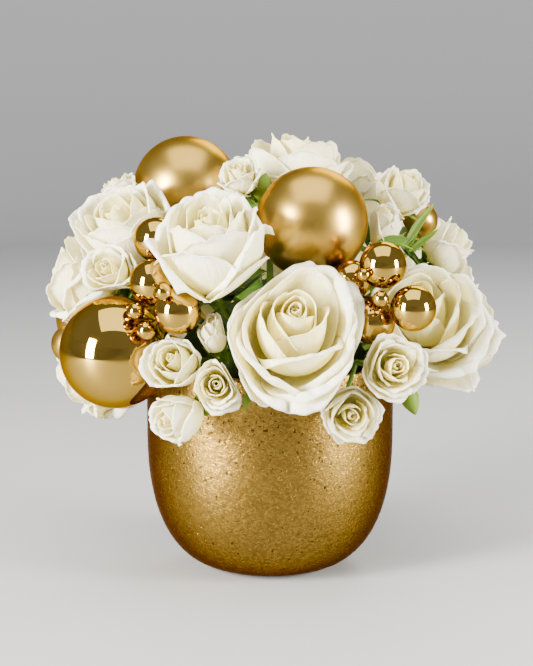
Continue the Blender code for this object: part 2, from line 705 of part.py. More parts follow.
def bloom(name, key, rings, along, across, narrow, wide):
    """One bloom: a small closed heart with some of its rings of three petals fused on, counted from outside.

    The first rows of a petal are narrow, down to its root.
    """
    centre, axis, radius, depth, turn = HEADS[key]
    low = receptacle(centre, axis, depth)
    turned = turned_frame(axis, turn)
    if key in LARGE:
        shares = ((0.0, 0.94), (0.26, 0.90), (0.41, 0.55), (0.18, 0.0), (0.0, 0.0))
    else:
        shares = ((0.0, 0.94), (0.34, 0.76), (0.17, 0.0), (0.0, 0.0))
    heart = lathe(name, [(radius * r, depth * z) for r, z in shares], 6 if key in LARGE else 5)
    place = Matrix(turned.tolist()).to_4x4()
    place.translation = Vector(low) * MM
    heart.data.transform(place)
    lean = heart_lean(key)
    sheets = []
    count = PETALS[kind_of(key)]
    plans = petal_plans(key)
    chosen = [count - 1 - 3 * ring - i for ring in rings for i in range(3)]
    for k in chosen + list(range(count, len(plans))):
        over = across if k < count else FEW_ACROSS
        grid = petal_grid(plans[k], along, over, wide if count - k < 4 else 0.8 * wide)
        rows, cols, _ = grid.shape
        sizes = [2 if i < narrow else cols for i in range(rows)]
        kept = [grid[i, :: cols - 1] if i < narrow else grid[i] for i in range(rows)]
        local = np.concatenate(kept)
        share = smooth(local[:, 2] / depth) * (1.0 - smooth((plans[k]["q"] - 0.35) / 0.65))
        world = local @ turned.T + low + share[:, None] * lean
        hold = smooth((np.repeat(np.asarray(along), sizes) - 0.12) / 0.25)
        inset = max(count - 1 - k, 0) * 0.02 * radius
        world = clear(world, key, hold, inset, own_branch(key))
        sheet = mesh_object(name + "_petal", world, row_faces(sizes), cutters)
        triangulate_and_thicken(sheet, PETAL_THICK)
        sheets.append(sheet)
    boolean(heart, sheets, "UNION")
    heart.data.materials.clear()
    heart.data.materials.append(PETAL_WHITE)
    return heart


def kind_of(key):
    if key in LARGE:
        return LARGE_KIND.get(key, "full")
    return "cup" if key in CUPS else "small"


def seed_of(key):
    return 10 + 3 * sorted(HEADS).index(key)


def own_branch(key):
    return ("branch_" + SMALL[key][5],) if key in SMALL else ()


def calyx(name, key, low, axis, cup, height, length, lift, bent):
    """The green cup under a head with its five pointed sepals. Its top is flat, just below the petals."""
    axis = unit(axis)
    turned = frame_of(axis)
    rng = np.random.default_rng(len(key) * 7)
    top = low - axis * SEAT
    verts = [top, low - axis * height]
    hold = [0.0, 0.0]
    for i in range(5):
        angle = 2 * math.pi * i / 5
        beside = turned @ np.array([math.cos(angle), math.sin(angle), 0.0])
        out = turned @ np.array([math.cos(angle + 0.628), math.sin(angle + 0.628), 0.0])
        across = np.cross(axis, out)
        size = length * rng.uniform(0.85, 1.15)
        way = unit(out + axis * lift)
        tip = top + out * cup + way * size - axis * size * rng.uniform(0.1, 0.35)
        verts += [top + beside * cup, low - axis * height + out * cup * 0.45, tip]
        hold += [0.0, 0.0, 1.0]
        if bent:
            mid = top + out * cup + way * size * 0.5 + axis * size * 0.06
            half = across * cup * 0.42
            verts += [mid - half, mid + half, mid - axis * 1.6]
            hold += [0.8, 0.8, 0.8]
    verts = clear(np.array(verts), key, np.array(hold), 0.3, own_branch(key))
    each = 6 if bent else 3
    faces = []
    for i in range(5):
        side, foot, tip = (2 + each * i + j for j in range(3))
        after = 2 + each * ((i + 1) % 5)
        before = 2 + each * ((i + 4) % 5) + 1
        faces += [(0, side, after), (1, foot, before), (side, before, foot)]
        if bent:
            left, right, keel = (2 + each * i + j for j in (3, 4, 5))
            faces += [(side, left, right, after), (left, tip, right)]
            faces += [(side, foot, keel, left), (left, keel, tip)]
            faces += [(foot, after, right, keel), (keel, right, tip)]
        else:
            faces += [(side, tip, after), (side, foot, tip), (foot, after, tip)]
    obj = mesh_object(name, verts, faces, cutters)
    bm = bmesh.new()
    bm.from_mesh(obj.data)
    bmesh.ops.triangulate(bm, faces=bm.faces)
    bmesh.ops.recalc_face_normals(bm, faces=bm.faces)
    if bm.calc_volume(signed=True) < 0:
        bmesh.ops.reverse_faces(bm, faces=bm.faces)
    bm.to_mesh(obj.data)
    bm.free()
    return obj


def leaf_grid(key, way, length, width, along, across):
    """Points of one leaf that grows from the stem under a head, a little folded along its middle."""
    centre, axis, radius, depth, turn = HEADS[key]
    way = unit(way)
    way = unit(way - axis * (np.dot(way, axis) + 0.12))
    side = np.cross(axis, way)
    s, t = np.meshgrid(along, across, indexing="ij")
    spread = np.maximum(width * np.sin(math.pi * np.clip(s, 0, 1) ** 0.8) ** 0.75, 0.9)
    out = (s * length)[..., None] * way + (spread * t)[..., None] * side
    return STEMS[key][0] + out + (0.22 * spread * np.abs(t) - 0.12 * length * s * s)[..., None] * axis


def leaf_blade(name, key, way, length, width):
    along = np.array((0.0, 0.36, 0.74, 1.0))
    grid = leaf_grid(key, way, length, width, along, (-1.0, 1.0))
    hold = np.repeat(smooth((along - 0.1) / 0.3), 2)
    bent = clear(grid.reshape(-1, 3), key, hold, 0.8, own_branch(key), True)
    blade = mesh_object(name, bent, row_faces([2, 2, 2, 2]), cutters)
    triangulate_and_thicken(blade, 0.8)
    return blade


def large_green(name, key):
    centre, axis, radius, depth, turn = HEADS[key]
    low = receptacle(centre, axis, depth)
    base = tube(name, [low - axis * 4.0] + STEMS[key], ROSE_STEM, 0)
    joined = [calyx(name + "_cup", key, low, axis, 5.6, 8.0, 0.5 * radius, -0.3, False)]
    for way, length, width in LEAVES.get(key, ()):
        joined.append(leaf_blade(name + "_leaf", key, way, length, width))
    boolean(base, joined, "UNION")
    base.data.materials.clear()
    base.data.materials.append(LEAF_GREEN)
    return base


def spray_green(name, branch):
    fork, enter, inside = STEMS["branch_" + branch]
    base = tube(name, [fork + unit(fork - enter) * 0.5, enter, inside], 2.0, 0)
    joined = []
    for key, entry in SMALL.items():
        if entry[5] != branch:
            continue
        centre, axis, radius, depth, turn = HEADS[key]
        low = receptacle(centre, axis, depth)
        if key in BUD:
            shut = [(0, depth), (radius * 0.8, depth * 0.45), (radius * 0.6, 1), (0, -1.5)]
            closed = lathe(name + "_bud", shut, 6, cutters)
            place = Matrix(frame_of(axis).tolist()).to_4x4()
            place.translation = Vector(low) * MM
            closed.data.transform(place)
            joined.append(closed)
        joined.append(tube(name + "_arm", [low - axis * 2.0] + STEMS[key][1:], SPRAY_STEM, 0, cutters))
        for way, length, width in LEAVES.get(key, ()):
            joined.append(leaf_blade(name + "_leaf", key, way, length, width))
        joined.append(calyx(name + "_cup", key, low, axis, 3.6, 5.0, SEPALS.get(key, 11.0), 0.2, key not in BUD))
    boolean(base, joined, "UNION")
    base.data.materials.clear()
    base.data.materials.append(LEAF_GREEN)
    return base


# Bowl
outer = []
for i in range(7):
    u = math.pi / 2 * (1 - i / 6)
    z = BOWL_ROUND * (1 - math.cos(u) ** (2 / BOWL_POWER))
    r = BOWL_FOOT + (BOWL_RADIUS - BOWL_FOOT) * math.sin(u) ** (2 / BOWL_POWER)
    outer.append((r, z))
outer = [(BOWL_RADIUS - 1.5, BOWL_HEIGHT), (BOWL_RADIUS, BOWL_HEIGHT - 1.5)] + outer
inner = [(0.0, 4.5)]
for i in range(5):
    u = math.pi / 2 * i / 4
    z = 4.5 + (BOWL_ROUND - 4.5) * (1 - math.cos(u) ** (2 / BOWL_POWER))
    r = BOWL_FOOT + (BOWL_RADIUS - BOWL_WALL - BOWL_FOOT) * math.sin(u) ** (2 / BOWL_POWER)
    inner.append((r, z))
inner.append((BOWL_RADIUS - BOWL_WALL, BOWL_HEIGHT - 1.0))
bowl_profile = outer + [(0.0, 0.0)] + inner + [outer[0]]
bowl = lathe("bowl", bowl_profile, 24)
bowl.data.materials.append(BOWL_GOLD)

# Foam, with a hole for each stem and pick
foam_profile = []
rim_angle = math.asin((BOWL_HEIGHT + 0.5 - FOAM_CENTRE[2]) / FOAM_DOME)
for i in range(5):
    lift = math.pi / 2 + (rim_angle - math.pi / 2) * i / 4
    foam_profile.append((FOAM_DOME * math.cos(lift), FOAM_CENTRE[2] + FOAM_DOME * math.sin(lift)))
foam_profile[0] = (0.0, foam_profile[0][1])
for r, z in inner[::-1][1:]:
    foam_profile.append((max(r - SEAT - 1.2, 0.0), z + SEAT))
foam = lathe("floral_foam", foam_profile, 14)


def hole(start, end, radius):
    """A plain hole along a stem, a little wider and deeper than it."""
    way = unit(np.asarray(end) - np.asarray(start))
    points = [np.asarray(start) - way * 9.0, np.asarray(end) + way * SEAT]
    return tube("hole", points, radius, 0, cutters)


holes = []
for key in LARGE:
    holes.append(hole(STEMS[key][-2], STEMS[key][-1], (ROSE_STEM + 0.3) / 0.707))
for key in BRANCH:
    holes.append(hole(STEMS["branch_" + key][1], STEMS["branch_" + key][2], (2.0 + 0.3) / 0.707))
for key, (centre, radius) in BAUBLE.items():
    enter, inside = foam_entry(centre)
    holes.append(hole(enter, inside, (1.3 + 0.3) / 0.707))
for key, (fork, balls) in BUNCH.items():
    enter, inside = foam_entry(fork)
    holes.append(hole(enter, inside, (1.3 + 0.3) / 0.707))
boolean(foam, holes, "DIFFERENCE", "EXACT")
foam.data.materials.clear()
foam.data.materials.append(FOAM_GREEN)

# Single baubles, each with its cap and pick
for key, (centre, radius) in BAUBLE.items():
    centre = np.array(centre, float)
    enter, inside = foam_entry(centre)
    way = unit(inside - centre)
    sphere = ball(key, centre, radius, 3 if radius > 20 else 2)
    cap = tube(key + "_cap", [centre + way * radius * 0.93, centre + way * (radius + 2.6)], radius * 0.16, 1, cutters)
    pick = tube(key + "_pick", [centre + way * (radius + 1.0), inside], 1.3, 1, cutters)
    boolean(sphere, [cap, pick], "UNION")
    sphere.data.materials.clear()
    sphere.data.materials.append(MIRROR_GOLD if "mirror" in key else SATIN_GOLD)

# Bunches of small baubles, each ball on its own wire
for key, (fork, balls) in BUNCH.items():
    fork = np.array(fork, float)
    enter, inside = foam_entry(fork)
    bunch = tube(key, [fork - unit(inside - fork) * 1.0, inside], 1.3, 1)
    joined = [ball(key + "_knot", fork, 2.6, 1, cutters)]
    for centre, radius in balls:
        joined.append(ball(key + "_ball", centre, radius, 2 if radius > 8 else 1, cutters))
        joined.append(tube(key + "_wire", [np.array(centre, float), fork], WIRE, 0, cutters))
    boolean(bunch, joined, "UNION")
    bunch.data.materials.clear()
    bunch.data.materials.append(MIRROR_GOLD)

# Roses and spray roses
for key in LARGE:
    if key in FULL:
        bloom(key + "_petals", key, (0, 3), BIG_ALONG, BIG_ACROSS, 2, 0.9)
    else:
        bloom(key + "_petals", key, (0, 3), BACK_ALONG, FEW_ACROSS, 1, 0.9)
    large_green(key + "_green", key)
for key in SPRAY:
    bloom(key + "_petals", key, (0,), SMALL_ALONG, FEW_ACROSS, 1, 0.86)
for branch in BRANCH:
    spray_green("spray_green_" + branch, branch)
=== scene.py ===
"""Looks of a floral table centerpiece: white roses, spray roses and gold baubles in a round gold bowl.

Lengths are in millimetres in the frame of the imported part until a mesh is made, which turns them into
metres. The layout below repeats the values of the part's source. Petals and wires are thinner here and gaps
are closer, three sepals are longer, and the leaves in TWIG_LEAVES are extra.
"""

import math

import bpy
import numpy as np
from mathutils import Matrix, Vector, noise


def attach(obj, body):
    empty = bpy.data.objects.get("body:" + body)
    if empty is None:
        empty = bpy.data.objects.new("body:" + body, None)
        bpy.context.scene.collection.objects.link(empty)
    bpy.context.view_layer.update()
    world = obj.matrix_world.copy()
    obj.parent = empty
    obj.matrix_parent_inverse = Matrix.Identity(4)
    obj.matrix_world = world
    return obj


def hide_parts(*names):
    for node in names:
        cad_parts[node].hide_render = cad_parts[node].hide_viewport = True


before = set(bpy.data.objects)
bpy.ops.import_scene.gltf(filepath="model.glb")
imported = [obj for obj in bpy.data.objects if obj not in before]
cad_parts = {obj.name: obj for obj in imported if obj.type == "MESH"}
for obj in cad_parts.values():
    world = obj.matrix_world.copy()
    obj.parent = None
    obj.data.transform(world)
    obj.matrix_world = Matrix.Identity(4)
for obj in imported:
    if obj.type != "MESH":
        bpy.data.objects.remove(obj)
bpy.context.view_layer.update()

MM = 0.001

# Bowl and foam
BOWL_RADIUS = 80.0
BOWL_HEIGHT = 138.0
BOWL_FOOT = 26.0
BOWL_ROUND = 90.0
BOWL_POWER = 2.4
BOWL_WALL = 3.0
BOWL_BASE = 4.5
RIM_ROUND = BOWL_WALL / 2
FOAM_CENTRE = np.array([0.0, 0.0, 105.0])
FOAM_DOME = 72.0

# Gaps, thicknesses and stems
SEAT = 0.3
PETAL_THICK = 0.35
SEPAL_THICK = 0.5
LEAF_THICK = 0.4
CELL_GAP = 0.6
BALL_GAP = 0.8
THIN_GAP = 0.7
ROSE_STEM = 2.3
SPRAY_STEM = 1.4
WIRE = 0.9
BRANCH_STEM = 1.9
PICK = 1.3
STAND_DEPTH = 26.0

# Stems aim at a point of the bowl's axis between these heights, and keep this room beside and above the rim
AIM_LOW, AIM_HIGH = 112.0, 148.0
RIM_BESIDE, RIM_ABOVE = 8.0, 6.0

# Baubles above this radius are large ones, with more sides and more room about them
LARGE_BALL = 20.0

# Calyx of a large head and of a small one: radius and height of the cup, and how steeply its sepals rise
LARGE_CALYX = (5.6, 8.0, -0.3)
SMALL_CALYX = (3.6, 5.0, 0.2)

# Each large rose: middle of the head, way it faces, tip radius, depth of the head, turn of its petals
LARGE = {
    "rose_front": ((14, -108, 169), (0.08, -0.853, 0.516), 45, 50, 203),
    "rose_front_upper": ((-35.5, -92, 220), (-0.12, -0.48, 0.87), 34, 56, 35),
    "rose_top": ((17, 28, 256), (0.02, 0.05, 1), 40, 48, 70),
    "rose_right": ((100, -40, 168), (0.1, -0.79, 0.6), 40, 50, 120),
    "rose_left_upper": ((-94, -4, 220), (-0.42, -0.42, 0.8), 34, 42, 150),
    "rose_left": ((-119, 8, 188), (-0.93, 0, 0.36), 35, 44, 10),
    "rose_top_right": ((56, 62, 236), (0.42, 0.35, 0.84), 38, 42, 100),
    "rose_left_low": ((-117, 16, 124), (-0.85, -0.1, -0.45), 33, 42, 40),
    "rose_right_side": ((124, 32, 157), (0.97, 0.1, 0.2), 39, 44, 80),
    "rose_back_top": ((0, 92, 230), (0, 0.6, 0.8), 42, 44, 160),
    "rose_back_left": ((-56, 108, 172), (-0.46, 0.82, 0.34), 44, 46, 60),
    "rose_back": ((22, 121, 172), (0.12, 0.94, 0.32), 45, 46, 8),
    "rose_back_right": ((90, 92, 178), (0.66, 0.66, 0.36), 44, 44, 210),
}

# Each spray rose in the same way, with the green branch that carries it and the length of its sepals
SPRAY = {
    "spray_left_upper": ((-57, -98, 152), (-0.25, -0.88, 0.4), 20, 30, 0, "left", 14),
    "spray_left_inner": ((-32, -110, 141), (-0.05, -0.97, 0.22), 16, 24, 80, "left", 11),
    "spray_left_low": ((-55, -101, 120), (-0.68, -0.72, -0.1), 18, 31, 30, "left", 14),
    "spray_left_bud": ((-34.5, -92, 168), (-0.1, -0.6, 0.8), 11.5, 27, 10, "left", 15),
    "spray_right_low": ((48, -99, 121), (0.15, -0.99, 0.02), 18.5, 25, 140, "right", 15),
    "spray_right_upper": ((74, -101, 150), (0.2, -0.94, 0.26), 20, 26, 50, "right", 14),
    "spray_top_ruffled": ((-19, -15, 255), (-0.1, -0.5, 0.86), 13, 22, 60, "top", 14),
    "spray_shoulder": ((85, 10, 243), (0.45, -0.3, 0.84), 17, 30, 0, "shoulder", 21),
    "spray_shoulder_bud": ((71, -30, 226), (0.15, -0.35, 0.92), 12.5, 28, 20, "shoulder", 19),
    "spray_shoulder_right": ((113, 4, 208), (0.82, -0.05, 0.57), 18, 31, 30, "shoulder", 22),
    "spray_left_ruffled": ((-100, -45, 199), (-0.36, -0.8, 0.48), 18, 26, 90, "side", 17),
    "spray_left_back": ((-98, 31, 240), (-0.55, 0.1, 0.83), 14, 24, 60, "side", 11),
    "spray_back_side": ((-97, 66, 206), (-0.62, 0.5, 0.6), 17, 26, 20, "side", 11),
    "spray_back_shoulder": ((104, 56, 212), (0.62, 0.38, 0.69), 15, 25, 60, "shoulder", 11),
    "spray_back_left": ((-18, 114, 131), (-0.2, 0.97, -0.1), 18, 26, 0, "back", 11),
    "spray_back_middle": ((58, 106, 133), (0.45, 0.88, -0.1), 18, 26, 50, "back", 11),
    "spray_back_right": ((104, 74, 133), (0.8, 0.58, -0.1), 17, 25, 20, "back", 11),
}

# Blooms that aren't a full large rose or an open small one
KIND = {
    "rose_front_upper": "goblet",
    "rose_left_upper": "goblet",
    "rose_top": "open",
    "rose_right": "open",
    "spray_left_upper": "cup",
    "spray_left_low": "cup",
    "spray_left_bud": "cup",
    "spray_shoulder_bud": "cup",
    "spray_shoulder_right": "cup",
}

# How far the heart of a bloom leans at its tip, sideways and upwards, as shares of the radius
HEART_LEAN = {"rose_front": (0, 0.26), "rose_front_upper": (0, 0.12), "rose_right": (-0.22, 0.3)}

# How wavy the petals are
WAVY = {"full": 1.0, "goblet": 1.0, "open": 1.4, "small": 2.4, "cup": 1.8}

# Single outer petals that hang or lie wider than the rest: the way each points, then the six measures of the
# plans below
LOOSE = {
    "rose_front": (((-0.70, 0, -0.70), 0.84, 1.12, 0.30, 0.44, 45, 0.10),),
    "rose_front_upper": (((0.62, -0.25, -0.75), 0.82, 1.04, 0.50, 0.85, 40, 0.10),),
    "rose_right": (
        ((-0.35, 0.1, -0.95), 0.74, 1.30, 0.26, 0.50, 60, 0.12),
        ((0.2, 0.1, -0.95), 0.78, 1.45, 0.36, 0.55, 45, 0.10),
        ((0.95, 0.2, -0.35), 0.70, 1.18, 0.50, 0.60, 60, 0.12),
    ),
    "rose_left": (((-0.3, -0.6, -0.75), 0.80, 1.10, 0.45, 0.55, 60, 0.12),),
}

# Leaves under the heads: the way each points, its length and half its width
LEAVES = {
    "rose_front": (((-1, 0, 0.12), 42, 13), ((1, 0.1, -0.05), 38, 12), ((-0.52, 0.3, 0.8), 46, 15)),
    "rose_front_upper": (((1, 0.15, -0.15), 42, 14), ((0.7, 0.6, 0.3), 46, 16)),
    "rose_top": (((-0.7, -0.7, 0), 40, 13), ((0.8, -0.55, 0), 40, 13)),
    "rose_right": (((0.1, 0.35, 0.9), 38, 13), ((-0.95, 0.1, 0.3), 34, 12)),
    "rose_left_upper": (((0.35, -0.9, -0.2), 32, 11), ((-0.6, 0.8, 0), 32, 11)),
    "rose_left": (((0, -0.75, 0.65), 32, 11), ((0, 0.9, 0.3), 34, 12)),
    "rose_top_right": (((0.25, -0.95, -0.1), 38, 13), ((0.95, 0.1, -0.3), 36, 12)),
    "rose_left_low": (((-0.25, -0.5, 0.85), 42, 9),),
    "rose_right_side": (((0, -0.5, 0.85), 36, 13), ((0, 0.6, 0.8), 36, 13)),
    "rose_back_top": (((-0.9, 0.1, -0.3), 36, 12), ((0.6, 0.6, -0.5), 34, 12)),
    "rose_back_left": (((-0.7, -0.2, 0.7), 36, 12), ((0.85, 0.5, 0.2), 34, 13)),
    "rose_back": (((-1, 0.1, 0.15), 42, 14), ((0.8, 0, 0.6), 36, 13)),
    "rose_back_right": (((0.5, -0.6, 0.6), 34, 12),),
    "spray_shoulder": (((0.2, -0.9, -0.2), 32, 9), ((0.8, -0.5, -0.2), 30, 8)),
    "spray_shoulder_bud": (((0.85, -0.5, 0.2), 32, 9), ((-0.2, -0.95, 0), 22, 7)),
    "spray_shoulder_right": (((-0.45, -0.6, 0.6), 34, 9), ((0.1, -0.95, 0.2), 32, 9)),
    "spray_left_bud": (((-0.3, -0.8, -0.5), 20, 7), ((0.8, -0.4, -0.2), 18, 6)),
    "spray_right_upper": (((-0.8, 0.1, -0.5), 26, 8),),
    "spray_left_ruffled": (((0.7, -0.1, 0.7), 26, 7), ((-0.9, 0, 0.5), 24, 7)),
    "spray_top_ruffled": (((0.9, -0.3, -0.1), 24, 8),),
}

# Single leaves along the branches: start, end, half the width, and 1 for a dark blade or 0 for a light one
TWIG_LEAVES = {
    "top": (((-5.5, -6, 184), (-27, -9, 182), 7.5, 1),),
    "shoulder": (
        ((84, -24, 213), (104, -10, 239), 2.7, 0),
        ((86, -20, 211), (97, -14, 230), 2.4, 0),
        ((88, -14, 208), (107, -9, 222), 2.2, 0),
        ((66, -41, 217), (87, -35, 220), 3.2, 1),
        ((61.5, -24, 213), (59.5, -14, 234), 2.8, 1),
    ),
    "right": (((33, -96, 131), (21.5, -99, 120), 2.2, 0),),
    "left": (((-13.5, -96, 134), (-15.5, -98, 122), 2, 0),),
}

# Closed buds on the branches, and the side of one: shares of its radius and of its depth above its foot
BUD = {
    "bud_top": ((-5, -3, 248), (0.25, 0.1, 0.96), 7.5, 19, 0, "top", 14),
    "bud_right": ((87, -68, 122), (0.35, -0.3, -0.88), 6.5, 18, 0, "right", 11),
}
BUD_FOOT = -1.5
BUD_SIDE = ((0.45, 0.03), (0.85, 0.2), (0.95, 0.38), (0.75, 0.62), (0.42, 0.84), (0.14, 0.97), (0, 1))

# Where each green branch divides
BRANCH = {
    "left": (-40, -79, 150),
    "right": (53, -75, 148),
    "top": (-10, -6, 222),
    "shoulder": (74, -2, 196),
    "side": (-80, 34, 190),
    "back": (44, 84, 148),
}

# Each single bauble: middle and radius
BAUBLE = {
    "bauble_satin_left": ((-56, 55, 241), 35),
    "bauble_satin_right": ((26, -41, 230), 35),
    "bauble_mirror": ((-96, -60, 151.5), 35),
    "bauble_satin_back": ((-110, 66, 153), 35),
    "bauble_small_left": ((-128, -14.5, 148.5), 12.5),
    "bauble_small_right": ((98, 28, 223), 12),
}

# Each bunch of small baubles on wires: where the wires meet, then the balls
BUNCH = {
    "bunch_left": (
        (-52, -50, 185),
        (
            ((-71.6, -79, 198), 14.2),
            ((-55.8, -99.5, 184), 14.2),
            ((-71, -45, 220), 14),
            ((-81.5, -89, 182), 5.5),
            ((-75, -94, 171), 6),
            ((-63.8, -112, 197.5), 5.2),
        ),
    ),
    "bunch_right": (
        (56, -56, 186),
        (
            ((68, -87, 210), 14.3),
            ((86, -96, 185), 14),
            ((62.5, -80.5, 174), 13.8),
            ((49.8, -68.6, 198.2), 12.2),
            ((56, -99, 206), 4),
            ((66, -104, 192), 5),
        ),
    ),
    "bunch_back": (
        (40, 88, 196),
        (((52, 112, 213), 14), ((34, 128, 223), 10), ((71, 105, 228), 8)),
    ),
}

# The inner petals follow each other by the golden angle. The outer ones stand in rings of three, outermost
# ring first here, with each ring turned by this many degrees
GOLDEN = math.radians(137.5)
RING_TURN = (0, 35, 80, 20, 60)

# How petals change from the heart of a bloom (0) to its outside (1): curl in degrees, tip_z as a share of the
# depth and the rest as shares of the radius
PLACES = (0.0, 0.15, 0.30, 0.42, 0.50, 0.75, 1.0)
PLANS = {
    "full": {
        "belly": (0.05, 0.13, 0.27, 0.44, 0.57, 0.75, 0.86),
        "tip_r": (0.03, 0.08, 0.19, 0.35, 0.58, 0.80, 0.98),
        "tip_z": (0.86, 0.92, 0.96, 0.98, 0.96, 0.86, 0.66),
        "half": (0.24, 0.37, 0.53, 0.69, 0.80, 0.93, 1.00),
        "curl": (5, 10, 25, 50, 80, 115, 125),
        "lip": (0.03, 0.04, 0.06, 0.10, 0.14, 0.18, 0.22),
    },
    "goblet": {
        "belly": (0.05, 0.13, 0.27, 0.44, 0.58, 0.76, 0.88),
        "tip_r": (0.03, 0.08, 0.18, 0.32, 0.46, 0.70, 0.96),
        "tip_z": (0.84, 0.90, 0.95, 0.98, 0.99, 0.95, 0.84),
        "half": (0.22, 0.34, 0.48, 0.64, 0.76, 0.92, 1.05),
        "curl": (5, 10, 22, 35, 50, 70, 95),
        "lip": (0.03, 0.04, 0.06, 0.08, 0.10, 0.14, 0.20),
    },
    "open": {
        "belly": (0.05, 0.14, 0.30, 0.48, 0.62, 0.72, 0.72),
        "tip_r": (0.03, 0.09, 0.22, 0.42, 0.64, 0.86, 1.00),
        "tip_z": (0.80, 0.86, 0.90, 0.92, 0.90, 0.78, 0.56),
        "half": (0.24, 0.38, 0.54, 0.68, 0.80, 0.92, 1.00),
        "curl": (5, 10, 20, 35, 55, 90, 120),
        "lip": (0.03, 0.04, 0.06, 0.08, 0.10, 0.14, 0.20),
    },
    "small": {
        "belly": (0.06, 0.16, 0.30, 0.45, 0.56, 0.74, 0.88),
        "tip_r": (0.04, 0.12, 0.25, 0.42, 0.58, 0.80, 1.00),
        "tip_z": (0.86, 0.92, 0.97, 0.98, 0.96, 0.88, 0.68),
        "half": (0.26, 0.40, 0.55, 0.70, 0.82, 0.96, 1.05),
        "curl": (5, 15, 35, 60, 80, 100, 115),
        "lip": (0.03, 0.05, 0.08, 0.12, 0.15, 0.18, 0.20),
    },
    "cup": {
        "belly": (0.06, 0.14, 0.28, 0.42, 0.52, 0.68, 0.82),
        "tip_r": (0.04, 0.09, 0.18, 0.28, 0.36, 0.56, 0.82),
        "tip_z": (0.88, 0.94, 0.98, 1.00, 1.00, 0.97, 0.86),
        "half": (0.24, 0.36, 0.50, 0.64, 0.74, 0.86, 0.94),
        "curl": (5, 12, 25, 40, 50, 75, 105),
        "lip": (0.03, 0.04, 0.06, 0.08, 0.10, 0.13, 0.17),
    },
}
PETALS = {"full": 25, "goblet": 25, "open": 24, "small": 16, "cup": 15}

# Points along and across a petal of a large head and of a small one
LARGE_GRID = (28, 35)
SMALL_GRID = (19, 21)

# Waves across a petal's rim: how fast each runs and its size. Notches: how many a rim has
WAVES = ((3.3, 1.0), (7.1, 0.7), (13.0, 0.45))
NOTCHES = 5


def unit(v):
    v = np.asarray(v, float)
    return v / np.linalg.norm(v)


def smooth(x):
    x = np.clip(x, 0.0, 1.0)
    return x * x * (3.0 - 2.0 * x)


def blade(rows, cols, power=1.0):
    """Shares along a blade and across it, from -1 to 1, as grids."""
    return np.meshgrid(np.linspace(0, 1, rows) ** power, np.linspace(-1, 1, cols), indexing="ij")


# Space between neighbours, by the rule that the part's source has
def receptacle(centre, axis, depth):
    return centre - axis * depth * 0.5


def foam_entry(point):
    """The way from a point to the foam, over the rim: where it enters and where it ends inside."""
    point = np.asarray(point, float)
    out_r = math.hypot(point[0], point[1])
    share = BOWL_RADIUS / max(out_r, BOWL_RADIUS + RIM_BESIDE)
    level = (BOWL_HEIGHT + RIM_ABOVE - point[2] * share) / (1.0 - share)
    if out_r < BOWL_RADIUS:
        level = AIM_LOW
    aim = np.array([0.0, 0.0, min(max(AIM_LOW, level), AIM_HIGH)])
    way = unit(aim - point)
    out = point - FOAM_CENTRE
    half = np.dot(out, way)
    reach = -half - math.sqrt(max(half * half - np.dot(out, out) + FOAM_DOME**2, 0.0))
    enter = point + way * reach
    return enter, enter + way * STAND_DEPTH


def bend_down(start, away, enter, inside, steps):
    """A smooth stem from a head down to the foam, then straight into it."""
    start, enter, inside = (np.asarray(p, float) for p in (start, enter, inside))
    way = unit(inside - enter)
    mouth = enter - way * 3.0
    span = np.linalg.norm(mouth - start)
    c1 = start + unit(away) * span * 0.4
    c2 = mouth - way * span * 0.35
    points = []
    for i in range(steps + 1):
        t = i / steps
        b = ((1 - t) ** 3, 3 * t * (1 - t) ** 2, 3 * t * t * (1 - t), t**3)
        points.append(b[0] * start + b[1] * c1 + b[2] * c2 + b[3] * mouth)
    return points + [inside]


# Every head: middle, way it faces, radius, depth and turn
SMALL = {**SPRAY, **BUD}
HEADS = {}
for key, (centre, axis, radius, depth, turn, *_) in {**LARGE, **SMALL}.items():
    HEADS[key] = (np.array(centre, float), unit(axis), radius, depth, turn)

STEMS = {}
for key in LARGE:
    centre, axis, radius, depth, turn = HEADS[key]
    low = receptacle(centre, axis, depth) - axis * 7.0
    over = np.array([low[0] * 0.9, low[1] * 0.9, max(low[2], BOWL_HEIGHT + RIM_ABOVE + 3.0)])
    enter, inside = foam_entry(over)
    away = -axis if low[2] > BOWL_HEIGHT + RIM_ABOVE else unit((0, 0, 1) - 0.3 * axis)
    STEMS[key] = bend_down(low, away, enter, inside, 9)
for key, fork in BRANCH.items():
    enter, inside = foam_entry(fork)
    STEMS["branch_" + key] = [np.array(fork, float), enter, inside]
for key, (*_, branch, _) in SMALL.items():
    centre, axis, radius, depth, turn = HEADS[key]
    low = receptacle(centre, axis, depth) - axis * 3.0
    fork = np.array(BRANCH[branch], float)
    c1 = low - axis * np.linalg.norm(fork - low) * 0.45
    STEMS[key] = [(1 - t) ** 2 * low + 2 * t * (1 - t) * c1 + t * t * fork for t in np.linspace(0, 1, 7)]

# Round things that petals bend round: owner, two ends of a line, the radius about it, and the width of the
# zone in which they bend
PICK_ROOM = 1.8
ROUND = []
for key, (centre, radius) in BAUBLE.items():
    centre = np.array(centre, float)
    enter, inside = foam_entry(centre)
    ROUND.append((key, centre, centre, radius, 9.0 if radius > LARGE_BALL else 5.0))
    ROUND.append((key, centre, enter, PICK_ROOM, 3.0))
for key, (fork, balls) in BUNCH.items():
    enter, inside = foam_entry(fork)
    ROUND.append((key, np.array(fork, float), enter, PICK_ROOM, 3.0))
    for centre, radius in balls:
        centre = np.array(centre, float)
        ROUND.append((key, centre, centre, radius, 6.0 if radius > 10 else 3.0))
        ROUND.append((key, centre, np.array(fork, float), WIRE, 2.0))
for key, points in STEMS.items():
    few = [points[0], points[len(points) // 2], points[-1]] if len(points) > 3 else points
    for first, second in zip(few, few[1:]):
        ROUND.append((key, first, second, ROSE_STEM if key in LARGE else SPRAY_STEM, 3.0))


